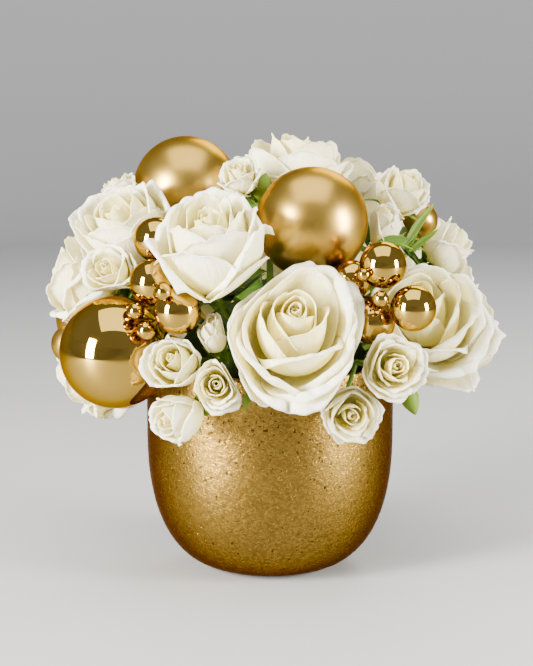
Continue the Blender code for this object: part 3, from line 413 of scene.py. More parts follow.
def push_from(points, nearest, radius, soft, gap):
    """Moves points off a round thing. Those well away stay, and those inside come out of its surface."""
    offset = points - nearest
    dist = np.linalg.norm(offset, axis=1)
    reach = radius + soft
    power = reach / (soft - gap)
    moved = radius + gap + (soft - gap) * (np.minimum(dist, reach) / reach) ** power
    scale = np.where(dist < reach, moved / np.maximum(dist, 1e-6), 1.0)
    return nearest + offset * scale[:, None]


def nearest_on(points, first, second):
    line = second - first
    size = np.dot(line, line)
    if size < 1e-9:
        return np.broadcast_to(first, points.shape)
    t = np.clip((points - first) @ line / size, 0.0, 1.0)
    return first + t[:, None] * line


def clear_bowl(points):
    """Keeps points off the bowl's wall and rim, and off the foam dome."""
    out = points.copy()
    r = np.hypot(out[:, 0], out[:, 1])
    flat = np.stack([r, out[:, 2]], axis=1)
    wall_r = BOWL_RADIUS - 0.5 * BOWL_WALL
    near = np.stack([np.full_like(r, wall_r), np.minimum(out[:, 2], BOWL_HEIGHT - RIM_ROUND)], axis=1)
    moved = push_from(flat, near, 0.5 * BOWL_WALL, soft=5.0, gap=1.0)
    scale = moved[:, 0] / np.maximum(r, 1e-6)
    out[:, 0] *= scale
    out[:, 1] *= scale
    out[:, 2] = moved[:, 1]
    near = np.broadcast_to(FOAM_CENTRE, out.shape)
    return push_from(out, near, FOAM_DOME, soft=4.0, gap=1.0)


# Share of a head's radius over which its petals bend at a wall, how far leaves stay under a head, how far
# apart two heads still share a wall, and how often the round things and walls are gone through
SOFT_SHARE = 0.28
UNDER_HEAD = 3.5
NEIGHBOUR = 34.0
PASSES = 4


def clear(points, key, hold, inset, under=False):
    """Bends points of one bloom clear of its neighbours. Hold is 0 at the root and 1 away from it.

    Points that belong under the head, such as a leaf's, also stay below its petals.
    """
    centre, axis, radius, depth, turn = HEADS[key]
    soft = SOFT_SHARE * radius
    walls = [(axis, -0.5 * depth - UNDER_HEAD)] if under else []
    for other, (place, _, size, *_) in HEADS.items():
        across = place - centre
        dist = np.linalg.norm(across)
        if other == key or dist > radius + size + NEIGHBOUR:
            continue
        limit = (dist * dist + radius * radius - size * size) / (2 * dist)
        walls.append((across / dist, limit - CELL_GAP / 2 - inset))
    out = points.copy()
    for normal, limit in walls:
        s = (out - centre) @ normal
        s0 = limit - soft
        bent = s0 + soft * (1.0 - np.exp(-np.maximum(s - s0, 0.0) / soft))
        out += (np.where(s > s0, bent, s) - s)[:, None] * normal
    low, high = out.min(axis=0) - 12.0, out.max(axis=0) + 12.0
    own = "branch_" + SMALL[key][-2] if key in SMALL else key
    close = []
    for name, first, second, size, room in ROUND:
        if name in (key, own):
            continue
        ends = np.stack([first, second])
        if (ends.max(axis=0) + size > low).all() and (ends.min(axis=0) - size < high).all():
            close.append((first, second, size, room))
    for _ in range(PASSES):
        for first, second, size, room in close:
            near = nearest_on(out, first, second)
            out = push_from(out, near, size, room, BALL_GAP if room > 4 else THIN_GAP)
        out = clear_bowl(out)
        for normal, limit in walls:
            s = (out - centre) @ normal
            out -= np.maximum(s - limit, 0.0)[:, None] * normal
    return points + (out - points) * hold[:, None]


def beside(axis):
    return np.cross(axis, (0.0, 0.0, 1.0) if abs(axis[2]) < 0.9 else (0.0, 1.0, 0.0))


def frame_of(axis):
    axis = unit(axis)
    side = unit(beside(axis))
    return np.stack([side, np.cross(axis, side), axis], axis=1)


def turned_frame(axis, turn):
    c, s = math.cos(math.radians(turn)), math.sin(math.radians(turn))
    return frame_of(axis) @ np.array([(c, -s, 0), (s, c, 0), (0, 0, 1)])


def in_scene(name, data):
    obj = bpy.data.objects.new(name, data)
    bpy.context.scene.collection.objects.link(obj)
    return obj


# Meshes, with numbers on their points that the materials read: how far along and across a blade a point is,
# which petal of the bloom it is on, a number of its own for each blade, and whether it is a leaf
MARKS = ("s", "u", "q", "own", "leaf")


# The frame of an upright axis and where it stands
UPRIGHT = (np.eye(3), np.zeros(3))


class Pile:
    """Points, faces and attributes of one mesh, gathered from many closed shapes."""

    def __init__(self):
        self.points, self.faces, self.marks, self.count = [], [], {}, 0

    def add(self, points, faces, **marks):
        points = np.asarray(points, float).reshape(-1, 3)
        self.points.append(points)
        self.faces += (np.asarray(faces) + self.count).tolist()
        for name in MARKS:
            flat = np.broadcast_to(np.asarray(marks.get(name, 0.0), float), (len(points),))
            self.marks.setdefault(name, []).append(flat)
        self.count += len(points)

    def sheet(self, grid, thick, **marks):
        """A thin closed blade about a grid of points. A mark is one number or a grid of them."""
        rows, cols, _ = grid.shape
        size = rows * cols
        normal = np.cross(np.gradient(grid, axis=1), np.gradient(grid, axis=0))
        normal /= np.maximum(np.linalg.norm(normal, axis=2, keepdims=True), 1e-9)
        half = 0.5 * thick * normal
        both = np.concatenate([(grid + half).reshape(-1, 3), (grid - half).reshape(-1, 3)])
        index = np.arange(size).reshape(rows, cols)
        corners = (index[:-1, :-1], index[:-1, 1:], index[1:, 1:], index[1:, :-1])
        top = np.stack(corners, -1).reshape(-1, 4)
        rim = np.concatenate([index[0], index[1:, -1], index[-1, :-1][::-1], index[1:-1, 0][::-1]])
        after = np.roll(rim, -1)
        side = np.stack([rim, rim + size, after + size, after], -1)
        twice = {}
        for name, value in marks.items():
            twice[name] = np.tile(np.broadcast_to(np.asarray(value, float), (rows, cols)).reshape(-1), 2)
        self.add(both, np.concatenate([top, top[:, ::-1] + size, side]), **twice)

    def pipe(self, points, radius, sides, **marks):
        """A round rod along points with blunt ends."""
        points = np.asarray(points, float)
        along = np.gradient(points, axis=0)
        along /= np.linalg.norm(along, axis=1, keepdims=True)
        side = beside(along[0])
        rings = []
        angle = np.linspace(0, 2 * math.pi, sides, endpoint=False)
        for p, way in zip(points, along):
            side = unit(side - way * np.dot(side, way))
            up = np.cross(way, side)
            rings.append(p + radius * (np.cos(angle)[:, None] * side + np.sin(angle)[:, None] * up))
        first = points[0] - along[0] * radius * 0.3
        last = points[-1] + along[-1] * radius * 0.3
        self.rings(rings, first, last, **marks)

    def rings(self, rings, first, last, **marks):
        """Closed rings of points joined in turn, with a point at each end."""
        sides = len(rings[0])
        body = np.concatenate([np.stack(rings).reshape(-1, 3), [first, last]])
        faces = []
        for i in range(len(rings) - 1):
            for j in range(sides):
                k = (j + 1) % sides
                faces.append((i * sides + j, i * sides + k, (i + 1) * sides + k, (i + 1) * sides + j))
        end = len(rings) * sides
        start = (len(rings) - 1) * sides
        caps = [(end, (j + 1) % sides, j, j) for j in range(sides)]
        for j in range(start, end):
            after = start + (j + 1) % sides
            caps.append((end + 1, j, after, after))
        self.add(body, np.array(faces + caps), **marks)

    def lathe(self, profile, sides, place=UPRIGHT, **marks):
        """A profile of (radius, height) from bottom to top, turned round an axis and closed at both ends.

        Place is the frame of the axis and the profile's zero.
        """
        turn, zero = place
        angle = np.linspace(0, 2 * math.pi, sides, endpoint=False)
        rings = []
        for r, z in profile[1:-1]:
            ring = np.stack([r * np.cos(angle), r * np.sin(angle), np.full(sides, z)], axis=1)
            rings.append(ring @ turn.T + zero)
        first, last = (turn @ np.array([0.0, 0.0, z]) + zero for z in (profile[0][1], profile[-1][1]))
        self.rings(rings, first, last, **marks)

    def ball(self, centre, radius, sides, axis=(0, 0, 1), **marks):
        lift = np.linspace(-math.pi / 2, math.pi / 2, sides // 2 + 1)
        profile = [(radius * math.cos(a), radius * math.sin(a)) for a in lift]
        self.lathe(profile, sides, (frame_of(axis), np.asarray(centre, float)), **marks)

    def build(self, name, material):
        """Makes the object. A face that was closed to a triangle has its double point dropped."""
        mesh = bpy.data.meshes.new(name)
        faces = [f[:3] if f[2] == f[3] else f for f in self.faces]
        mesh.from_pydata((np.concatenate(self.points) * MM).tolist(), [], faces)
        for mark, parts in self.marks.items():
            values = np.concatenate(parts).astype(np.float32)
            mesh.attributes.new(mark, "FLOAT", "POINT").data.foreach_set("value", values)
        mesh.shade_smooth()
        mesh.materials.append(material)
        return in_scene(name, mesh)


# Materials
class Nodes:
    """Short calls for making a material's nodes. A value is a number, a colour or a node's output."""

    def __init__(self, name):
        self.mat = bpy.data.materials.new(name)
        self.mat.use_nodes = True
        self.tree = self.mat.node_tree
        self.shader = self.tree.nodes["Principled BSDF"]
        self.out = self.tree.nodes["Material Output"]

    def put(self, value, socket):
        """Sets an input to a number, vector or colour, or links it to an output."""
        if isinstance(value, tuple):
            socket.default_value = value if socket.type == "VECTOR" else (*value, 1.0)
        elif isinstance(value, (int, float)):
            socket.default_value = value
        else:
            self.tree.links.new(value, socket)

    def new(self, kind, **values):
        """A node with its settings, and its inputs where it has no setting of that name."""
        node = self.tree.nodes.new(kind)
        for name, value in values.items():
            if hasattr(node, name):
                setattr(node, name, value)
            else:
                self.put(value, node.inputs[name.replace("_", " ")])
        return node

    def surface(self, **values):
        """Inputs of the main shader."""
        for name, value in values.items():
            self.put(value, self.shader.inputs[name.replace("_", " ")])

    def mark(self, name):
        return self.new("ShaderNodeAttribute", attribute_name=name).outputs["Fac"]

    def place(self):
        return self.new("ShaderNodeTexCoord").outputs["Object"]

    def vector(self, x, y, z):
        return self.new("ShaderNodeCombineXYZ", X=x, Y=y, Z=z).outputs[0]

    def noise(self, scale, detail, vector=None, rough=0.5, warp=0.0):
        vector = self.place() if vector is None else vector
        values = {"Scale": scale, "Detail": detail, "Roughness": rough, "Distortion": warp}
        return self.new("ShaderNodeTexNoise", Vector=vector, **values).outputs[0]

    def math(self, op, a, b=0.0):
        node = self.new("ShaderNodeMath", operation=op)
        self.put(a, node.inputs[0])
        self.put(b, node.inputs[1])
        return node.outputs[0]

    def times(self, a, b):
        return self.math("MULTIPLY", a, b)

    def span(self, value, a, b, c=0.0, d=1.0):
        """Goes smoothly from c to d while the value goes from a to b."""
        ends = {"From_Min": a, "From_Max": b, "To_Min": c, "To_Max": d}
        node = self.new("ShaderNodeMapRange", interpolation_type="SMOOTHSTEP", Value=value, **ends)
        return node.outputs["Result"]

    def ramp(self, value, *stops):
        node = self.new("ShaderNodeValToRGB", Fac=value)
        band = node.color_ramp
        while len(band.elements) < len(stops):
            band.elements.new(0.5)
        for element, (place, colour) in zip(band.elements, stops):
            element.position = place
            element.color = (*colour, 1.0)
        return node.outputs["Color"]

    def tones(self, value, low, high):
        """Two colours spread over the middle of a noise."""
        return self.ramp(value, (0.3, low), (0.7, high))

    def mix(self, share, a, b, blend="MIX"):
        node = self.new("ShaderNodeMix", data_type="RGBA", blend_type=blend)
        for index, value in ((0, share), (6, a), (7, b)):
            self.put(value, node.inputs[index])
        return node.outputs[2]

    def bump(self, height, strength, distance, after=None):
        node = self.new("ShaderNodeBump", Strength=strength, Distance=distance, Height=height)
        if after is not None:
            self.put(after, node.inputs["Normal"])
        return node.outputs["Normal"]


def petal_material():
    """Ivory that yellows towards the root and the heart of a bloom, and lets light through."""
    n = Nodes("white_rose_petal")
    s, u, q, own = n.mark("s"), n.mark("u"), n.mark("q"), n.mark("own")

    def on_petal(across, along, apart):
        """Places for a noise that is drawn out along a petal and differs from petal to petal."""
        return n.vector(n.times(u, across), n.times(s, along), n.times(own, apart))

    body = n.ramp(
        s,
        (0.0, (0.80, 0.86, 0.20)),
        (0.30, (0.965, 0.915, 0.35)),
        (0.62, (0.98, 0.955, 0.64)),
        (0.90, (0.975, 0.965, 0.89)),
    )
    body = n.mix(n.span(q, 0.10, 0.80, 0.80, 0.0), body, (0.965, 0.90, 0.38))
    clouds = n.noise(2.2, 3.0, on_petal(1.0, 1.5, 40.0))
    body = n.mix(n.span(clouds, 0.42, 0.75, 0.0, 0.3), body, (0.96, 0.89, 0.56))
    veins = n.noise(2.0, 4.0, on_petal(26.0, 2.2, 90.0), 0.6)
    body = n.mix(n.span(veins, 0.50, 0.72, 0.0, 0.14), body, (0.93, 0.86, 0.52))

    # Brown specks and pale brown stretches along the rim
    rim = n.math("MAXIMUM", n.span(s, 0.90, 1.0), n.span(n.math("ABSOLUTE", u), 0.93, 1.0))
    specks = n.times(n.span(n.noise(420.0, 2.0), 0.66, 0.72), n.span(rim, 0.2, 0.8))
    body = n.mix(n.times(specks, 0.6), body, (0.42, 0.22, 0.06))
    edge = n.times(n.span(rim, 0.72, 1.0), n.span(n.noise(70.0, 3.0), 0.52, 0.72))
    body = n.mix(n.times(edge, 0.45), body, (0.80, 0.62, 0.26))

    creases = n.noise(1.6, 3.0, on_petal(7.0, 1.6, 70.0), 0.55)
    normal = n.bump(veins, 0.40, 0.0009)
    normal = n.bump(creases, 0.45, 0.0030, normal)
    normal = n.bump(n.noise(150.0, 3.0), 0.30, 0.0014, normal)
    normal = n.bump(n.noise(2600.0, 2.0), 0.15, 0.0001, normal)
    n.surface(Base_Color=body, Normal=normal, Roughness=0.52, Specular_IOR_Level=0.32)
    n.surface(Sheen_Weight=0.12, Sheen_Roughness=0.4)

    through = n.new("ShaderNodeBsdfTranslucent", Color=n.mix(0.8, body, (1.0, 0.95, 0.66), "MULTIPLY"))
    both = n.new("ShaderNodeMixShader")
    for value, socket in zip((0.45, n.shader.outputs[0], through.outputs[0]), both.inputs):
        n.put(value, socket)
    n.put(both.outputs[0], n.out.inputs["Surface"])
    return n.mat


def green_material():
    """Stems and calyxes that pale towards a tip, and darker leaves with pale ribs."""
    n = Nodes("fresh_green")
    s, u, leaf = n.mark("s"), n.mark("u"), n.mark("leaf")
    tone = n.noise(160.0, 4.0)
    body = n.ramp(
        s,
        (0.0, (0.034, 0.068, 0.002)),
        (0.5, (0.068, 0.122, 0.003)),
        (1.0, (0.140, 0.200, 0.006)),
    )
    body = n.mix(n.span(tone, 0.35, 0.7, 0.0, 0.5), body, (0.105, 0.165, 0.004))
    side = n.math("ABSOLUTE", u)
    rib = n.math("SINE", n.times(n.math("SUBTRACT", s, n.times(side, 0.22)), 62.0))
    ribs = n.math("MAXIMUM", n.span(rib, 0.86, 1.0, 0.0, 0.6), n.span(side, 0.03, 0.09, 1.0, 0.0))
    patches = n.span(n.noise(55.0, 3.0), 0.3, 0.7)
    blade = n.mix(patches, (0.026, 0.070, 0.003), (0.062, 0.128, 0.005))
    blade = n.mix(n.times(ribs, 0.45), blade, (0.10, 0.20, 0.025))
    normal = n.bump(n.times(ribs, leaf), 0.5, 0.0006)
    normal = n.bump(n.noise(900.0, 3.0), 0.3, 0.0003, normal)
    n.surface(Base_Color=n.mix(leaf, body, blade), Normal=normal)
    n.surface(Roughness=n.span(tone, 0.3, 0.7, 0.48, 0.62), Specular_IOR_Level=0.22)
    return n.mat


def gold_leaf_material():
    """The bowl: gold with painted highlight and shade on a grain of strokes in two directions, and dark pits
    towards the rim.
    """
    n = Nodes("bowl_gold_leaf")
    strokes = []
    for turn, scale in (((0.5, 0.6, 0.35), (1.0, 1.0, 2.4)), ((-0.7, 0.3, -0.9), (1.0, 2.2, 1.0))):
        turned = n.new("ShaderNodeMapping", Rotation=turn, Scale=scale, Vector=n.place())
        strokes.append(n.noise(470.0, 3.0, turned.outputs[0], 0.6, 0.5))
    stroke = n.times(n.math("ADD", *strokes), 0.5)
    broad = n.noise(34.0, 3.0)
    height = n.new("ShaderNodeSeparateXYZ", Vector=n.place()).outputs["Z"]
    fewer = n.span(height, 0.05, 0.135, 0.045, 0.0)
    pits = n.span(n.math("SUBTRACT", n.noise(430.0, 2.0, None, 0.6), fewer), 0.610, 0.645)
    body = n.tones(broad, (0.118, 0.067, 0.0105), (0.152, 0.088, 0.0150))
    # Painted highlight and shade: lighter on the raised crests of the strokes and darker in the dents between
    # them, by the same noise as their bump.
    body = n.mix(n.span(stroke, 0.42, 0.60, 0.0, 0.8), body, (0.265, 0.160, 0.031))
    body = n.mix(n.times(pits, 0.92), body, (0.020, 0.008, 0.002))
    normal = n.bump(stroke, 0.55, 0.0009)
    normal = n.bump(broad, 0.12, 0.0030, normal)
    normal = n.bump(n.math("SUBTRACT", 1.0, pits), 0.5, 0.0005, normal)
    n.surface(Base_Color=body, Normal=normal, Roughness=n.span(stroke, 0.4, 0.6, 0.33, 0.25))
    n.surface(Metallic=1.0, Specular_Tint=(0.30, 0.18, 0.05))
    return n.mat


def bauble_gold(name, tone, colours, shine, rough, dents, deep):
    """Gold of a bauble. Tone, shine and dents are each the scale and detail of a noise."""
    n = Nodes(name)
    n.surface(Base_Color=n.tones(n.noise(*tone), *colours), Roughness=n.span(n.noise(*shine), *rough))
    n.surface(Normal=n.bump(n.noise(*dents), 0.05, deep))
    n.surface(Metallic=1.0, Specular_Tint=(0.62, 0.40, 0.14))
    return n.mat


def foam_material():
    n = Nodes("floral_foam")
    # Painted shade: the foam's green is darkened to near black so that it stands in for the shade in the gaps
    # between the heads.
    body = n.tones(n.noise(220.0, 4.0), (0.008, 0.014, 0.002), (0.018, 0.030, 0.004))
    cells = n.new("ShaderNodeTexVoronoi", Scale=900.0, Detail=3.0, Roughness=0.5, Vector=n.place())
    normal = n.bump(cells.outputs[0], 0.8, 0.0008)
    n.surface(Base_Color=body, Normal=normal, Roughness=0.95, Specular_IOR_Level=0.05)
    return n.mat


PETAL = petal_material()
GREEN = green_material()
GOLD_LEAF = gold_leaf_material()
SATIN = bauble_gold(
    "satin_gold",
    tone=(60.0, 3.0),
    colours=((0.41, 0.255, 0.048), (0.45, 0.280, 0.055)),
    shine=(60.0, 2.0),
    rough=(0.3, 0.7, 0.300, 0.320),
    dents=(3500.0, 2.0),
    deep=0.00005,
)
MIRROR = bauble_gold(
    "mirror_gold",
    tone=(45.0, 2.0),
    colours=((0.40, 0.252, 0.044), (0.44, 0.280, 0.052)),
    shine=(120.0, 3.0),
    rough=(0.3, 0.8, 0.03, 0.075),
    dents=(28.0, 2.0),
    deep=0.001,
)
FOAM = foam_material()


# Blooms
def petal_plans(key):
    """Measures of every petal of a bloom, from the heart outwards, then of its loose petals."""
    centre, axis, radius, depth, turn = HEADS[key]
    kind = kind_of(key)
    count = PETALS[kind]
    rng = np.random.default_rng(seed_of(key))
    nick = np.random.default_rng(seed_of(key) + 900)
    plans = []
    for k in range(count):
        q = k / (count - 1)
        ring, place = divmod(count - 1 - k, 3)
        in_ring = ring < len(RING_TURN)
        spread = math.radians(120 * place + RING_TURN[ring]) if in_ring else GOLDEN * k
        share = {name: float(np.interp(q, PLACES, row)) for name, row in PLANS[kind].items()}
        plans.append(
            {
                "q": q,
                "azimuth": spread + rng.normal(0, 0.11),
                "belly": share["belly"] * radius,
                "tip_r": (share["tip_r"] + rng.normal(0, 0.022) * (0.3 + q)) * radius,
                "tip_z": (share["tip_z"] + rng.normal(0, 0.03)) * depth,
                "root_r": 0.03 * radius + 0.5,
                "root_z": 1.5 + 0.1 * depth * (1 - q),
                "low": depth * (0.02 + 0.10 * (1 - q)),
                "high": 0.72 - 0.1 * q,
                "half": share["half"] * radius * rng.uniform(0.86, 1.1),
                "curl": math.radians(share["curl"]) * rng.uniform(0.6, 1.3),
                "lip": share["lip"] * radius * rng.uniform(0.8, 1.2),
                "slide": radius * (0.012 + 0.022 * q),
                "flat": 0.3 * q * q,
                "lean": rng.uniform(-0.05, 0.05),
                "point": 0.015 + 0.03 * q * rng.uniform(0, 1),
                "phase": rng.uniform(0, 6.28, 3),
                "notches": [
                    (nick.uniform(-0.9, 0.9), nick.uniform(0, 0.05) * q, nick.uniform(0.03, 0.1))
                    for _ in range(NOTCHES)
                ],
                "ruffle": WAVY[kind] * radius * (0.003 + 0.011 * q),
                "edge": radius * 0.05 * q,
            }
        )
    units = (radius, radius, depth, radius, None, radius)
    for way, *measures in LOOSE.get(key, ()):
        local = turned_frame(axis, turn).T @ np.array(way)
        loose = {**plans[-1], "azimuth": math.atan2(local[1], local[0])}
        for name, measure, size in zip(PLANS[kind], measures, units):
            loose[name] = measure * size if size else math.radians(measure)
        plans.append(loose)
    return plans


def petal_grid(p, s, t):
    """Points of one petal in the frame of its bloom, as rows from root to tip.

    The side of the petal is a Bezier curve from root to tip, which its lip rolls away from. Every row is
    wrapped round the bloom's axis, then waved along its rim.
    """
    root_r, root_z, belly = p["root_r"], p["root_z"], p["belly"]
    c = np.array(
        [
            (root_r, root_z),
            (belly * 1.15, root_z + p["low"]),
            (belly * 1.05, p["tip_z"] * p["high"]),
            (p["tip_r"], p["tip_z"]),
        ]
    )
    u = np.linspace(0, 1, 60)[:, None]
    side = (1 - u) ** 3 * c[0] + 3 * u * (1 - u) ** 2 * c[1] + 3 * u * u * (1 - u) * c[2] + u**3 * c[3]
    length = np.concatenate([[0.0], np.cumsum(np.linalg.norm(np.diff(side, axis=0), axis=1))])
    total = length[-1]
    far = np.abs(t)
    reach = total * (1.0 - 0.30 * far**2.6 + p["lean"] * t + p["point"] * np.exp(-((t / 0.14) ** 2)))
    a, b, d = p["phase"]
    wave = sum(size * np.sin(rate * t + start) for (rate, size), start in zip(WAVES, p["phase"]))
    fine = np.sin(17 * t + 3 * a) * (0.6 + 0.4 * np.sin(4 * t + d))
    reach = reach * (1 + 0.012 * wave + 0.007 * fine)
    for at, deep, broad in p["notches"]:
        reach = reach * (1 - deep * np.exp(-(((t - at) / broad) ** 2)))
    run = s * reach
    curl = p["curl"] * (1 + 0.18 * np.sin(2.3 * t + b))
    lip = p["lip"] * (1 + 0.25 * np.sin(2.9 * t + d))
    flat_end = np.maximum(reach - lip, 0.3 * total)
    on = np.minimum(run, flat_end)
    r = np.interp(on, length, side[:, 0])
    z = np.interp(on, length, side[:, 1])
    ahead_r = np.interp(on, length, np.gradient(side[:, 0], length))
    ahead_z = np.interp(on, length, np.gradient(side[:, 1], length))
    size = np.hypot(ahead_r, ahead_z)
    ahead_r, ahead_z = ahead_r / size, ahead_z / size
    over = np.maximum(run - flat_end, 0.0)
    bow = np.maximum(lip / np.maximum(curl, 0.05), 0.2)
    psi = over / bow
    r = r + ahead_r * bow * np.sin(psi) + ahead_z * bow * (1 - np.cos(psi))
    z = z + ahead_z * bow * np.sin(psi) - ahead_r * bow * (1 - np.cos(psi))
    shape = (0.14 + 0.86 * smooth(s / 0.72)) * (1.0 - 0.14 * smooth((s - 0.7) / 0.3))
    wrap = np.maximum(r, belly * 0.35 + 1.0) * (1.0 + p["flat"] * s)
    angle = np.clip(p["half"] * shape * t / wrap, -3.6, 3.6)
    ruffle = p["ruffle"] * (wave * s**3 + 0.9 * fine * s**7)
    push = p["slide"] * t * smooth(s / 0.5) + ruffle + p["edge"] * far**5 * smooth(s / 0.6)
    radial = (r - wrap) + wrap * np.cos(angle) + push * np.cos(angle)
    tangent = wrap * np.sin(angle) + push * np.sin(angle)
    ca, sa = math.cos(p["azimuth"]), math.sin(p["azimuth"])
    return np.stack([radial * ca - tangent * sa, radial * sa + tangent * ca, z], axis=-1)


def kind_of(key):
    return KIND.get(key, "full" if key in LARGE else "small")


def seed_of(key):
    return 10 + 3 * sorted(HEADS).index(key)


def heart_lean(key):
    centre, axis, radius, depth, turn = HEADS[key]
    beside, above = HEART_LEAN.get(key, (0.0, 0.0))
    up = np.array([0.0, 0.0, 1.0]) - axis * axis[2]
    up /= max(np.linalg.norm(up), 0.2)
    return radius * (above * up + beside * np.cross(up, axis))


# How much further inside its space each petal stays than the next one outwards, as a share of the radius
INNER_INSET = 0.02


def bloom(key):
    centre, axis, radius, depth, turn = HEADS[key]
    rows, cols = LARGE_GRID if key in LARGE else SMALL_GRID
    count = PETALS[kind_of(key)]
    low = receptacle(centre, axis, depth)
    turned = turned_frame(axis, turn)
    s, u = blade(rows, cols, 0.85)
    hold = smooth((s - 0.12) / 0.25).reshape(-1)
    lean = heart_lean(key)
    grids, insets = [], []
    plans = petal_plans(key)
    for k, plan in enumerate(plans):
        grid = petal_grid(plan, s, u)
        share = 1.0 - smooth((plan["q"] - 0.35) / 0.65)
        height = smooth(grid[..., 2] / depth)
        world = grid @ turned.T + low + (height * share)[..., None] * lean
        grids.append(world.reshape(-1, 3))
        insets.append(np.full(rows * cols, max(count - 1 - k, 0) * INNER_INSET * radius))
    world = clear(np.concatenate(grids), key, np.tile(hold, len(plans)), np.concatenate(insets))
    pile = Pile()
    rng = np.random.default_rng(seed_of(key) + 500)
    for k, plan in enumerate(plans):
        grid = world[k * rows * cols : (k + 1) * rows * cols].reshape(rows, cols, 3)
        pile.sheet(grid, PETAL_THICK, s=s, u=u, q=plan["q"], own=rng.uniform())
    obj = pile.build(key + "_bloom", PETAL)
    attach(obj, "root")
    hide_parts(key + "_petals")


def clear_blade(grid, key, s, inset, under=False):
    """A sepal or leaf bent clear of its neighbours and held at its root."""
    hold = smooth((s - 0.1) / 0.3).reshape(-1)
    return clear(grid.reshape(-1, 3), key, hold, inset, under).reshape(grid.shape)


def add_calyx(pile, key, low, axis, calyx, length, width):
    """The green cup under a head with five pointed, slightly cupped sepals."""
    cup, height, lift = calyx
    turned = frame_of(axis)
    rng = np.random.default_rng(len(key) * 7)
    top = low - axis * SEAT
    side = ((0.42, -1.0), (0.8, -0.72), (1.0, -0.4), (0.96, -0.15))
    profile = [(0.0, -height - 0.5)] + [(cup * r, height * z) for r, z in side]
    profile += [(cup * 0.7, -0.15), (0.0, -0.05)]
    pile.lathe(profile, 18, (turned, top), s=0.35)
    s, t = blade(12, 5)
    for i in range(5):
        angle = 2 * math.pi * i / 5 + 0.628
        out = turned @ np.array([math.cos(angle), math.sin(angle), 0.0])
        side = np.cross(axis, out)
        size = length * rng.uniform(0.85, 1.15)
        droop = rng.uniform(0.1, 0.35)
        way = unit(out + axis * lift)
        spread = width * (0.45 + 0.55 * smooth(s / 0.25)) * (1.0 - s) ** 0.75 * (1 + 0.3 * np.sin(11 * s + i))
        spread = np.maximum(spread, 0.12)
        line = top + out * cup * 0.75 - axis * 0.8
        curve = s * size
        grid = (
            line
            + curve[..., None] * way
            + (0.22 * size * np.sin(s * 2.4) - droop * size * s**2)[..., None] * axis
            + (spread * t)[..., None] * side
            + (0.22 * spread * t * t)[..., None] * axis
            + (rng.uniform(-0.12, 0.12) * size * s**2)[..., None] * side
        )
        pile.sheet(clear_blade(grid, key, s, 0.3), SEPAL_THICK, s=0.3 + 0.7 * s)


def leaf_grid(key, way, length, width, s, t):
    """Points of one leaf that grows from the stem under a head, a little folded along its middle."""
    centre, axis, radius, depth, turn = HEADS[key]
    way = unit(way)
    way = unit(way - axis * (np.dot(way, axis) + 0.12))
    side = np.cross(axis, way)
    spread = np.maximum(width * np.sin(math.pi * s**0.8) ** 0.75, 0.9)
    out = (s * length)[..., None] * way + (spread * t)[..., None] * side
    return STEMS[key][0] + out + (0.22 * spread * np.abs(t) - 0.12 * length * s * s)[..., None] * axis


def add_leaves(pile, key):
    """Toothed leaves with a marked middle, at the places that the part's source has."""
    s, t = blade(37, 9)
    for i, (way, length, width) in enumerate(LEAVES.get(key, ())):
        grid = leaf_grid(key, way, length, width, s, t)
        middle = grid[:, 4:5]
        tooth = 1.0 - 0.13 * ((s * 12 + 0.3 * i) % 1.0) * smooth(s / 0.15)
        grid = middle + (grid - middle) * np.where(np.abs(t) > 0.9, tooth, 1.0)[..., None]
        axis = HEADS[key][1]
        grid = grid + (0.5 * np.sin(9 * s + 5 * np.abs(t) + i) * np.abs(t))[..., None] * axis
        pile.sheet(clear_blade(grid, key, s, 0.8, under=True), LEAF_THICK, s=s, u=t, leaf=1.0)


def add_twig_leaf(pile, start, end, width, dark):
    """A leaf along a branch that turns its face forwards and is pointed at its tip."""
    s, t = blade(25, 9)
    start, end = np.array(start), np.array(end)
    forward = np.array([0.0, -1.0, 0.0])
    side = unit(np.cross(end - start, forward))
    spread = np.maximum(width * np.sin(math.pi * s**0.8) ** 0.75, 0.4)
    sway = 0.08 * width * np.sin(9 * s)
    points = start + s[..., None] * (end - start) + (spread * t + sway)[..., None] * side
    points = points + (0.25 * spread * np.abs(t) + 2.0 * s * s)[..., None] * forward
    pile.sheet(points, LEAF_THICK, s=s if dark else 0.2 + 0.5 * s, u=t, leaf=dark)


def large_green(key):
    centre, axis, radius, depth, turn = HEADS[key]
    low = receptacle(centre, axis, depth)
    pile = Pile()
    add_leaves(pile, key)
    pile.pipe([low - axis * 5.0] + STEMS[key], ROSE_STEM, 10, s=0.2)
    add_calyx(pile, key, low, axis, LARGE_CALYX, length=0.5 * radius, width=3.6)
    obj = pile.build(key + "_stem", GREEN)
    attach(obj, "root")
    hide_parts(key + "_green")


def spray_green(branch):
    fork, enter, inside = STEMS["branch_" + branch]
    pile = Pile()
    pile.pipe([fork + unit(fork - enter) * 0.5, enter, inside], BRANCH_STEM, 10, s=0.2)
    for key, (*_, carrier, sepal) in SMALL.items():
        if carrier != branch:
            continue
        centre, axis, radius, depth, turn = HEADS[key]
        low = receptacle(centre, axis, depth)
        if key in BUD:
            profile = [(0.0, BUD_FOOT)] + [(radius * r, depth * z) for r, z in BUD_SIDE]
            pile.lathe(profile, 20, (frame_of(axis), low), s=0.75)
        pile.pipe([low - axis * 1.0] + STEMS[key], SPRAY_STEM, 8, s=0.3)
        add_leaves(pile, key)
        add_calyx(pile, key, low, axis, SMALL_CALYX, sepal, width=1.3 + 0.08 * sepal)
    for entry in TWIG_LEAVES.get(branch, ()):
        add_twig_leaf(pile, *entry)
    obj = pile.build("spray_stems_" + branch, GREEN)
    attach(obj, "root")
    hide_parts("spray_green_" + branch)


for key in list(LARGE) + list(SPRAY):
    bloom(key)
for key in LARGE:
    large_green(key)
for branch in BRANCH:
    spray_green(branch)


# Bowl: the size of its relief and how close together its strokes are, across, upwards and slanted
RELIEF = 0.20
STROKE_ACROSS, STROKE_UP, STROKE_SLANT = 0.16, 0.55, 0.30


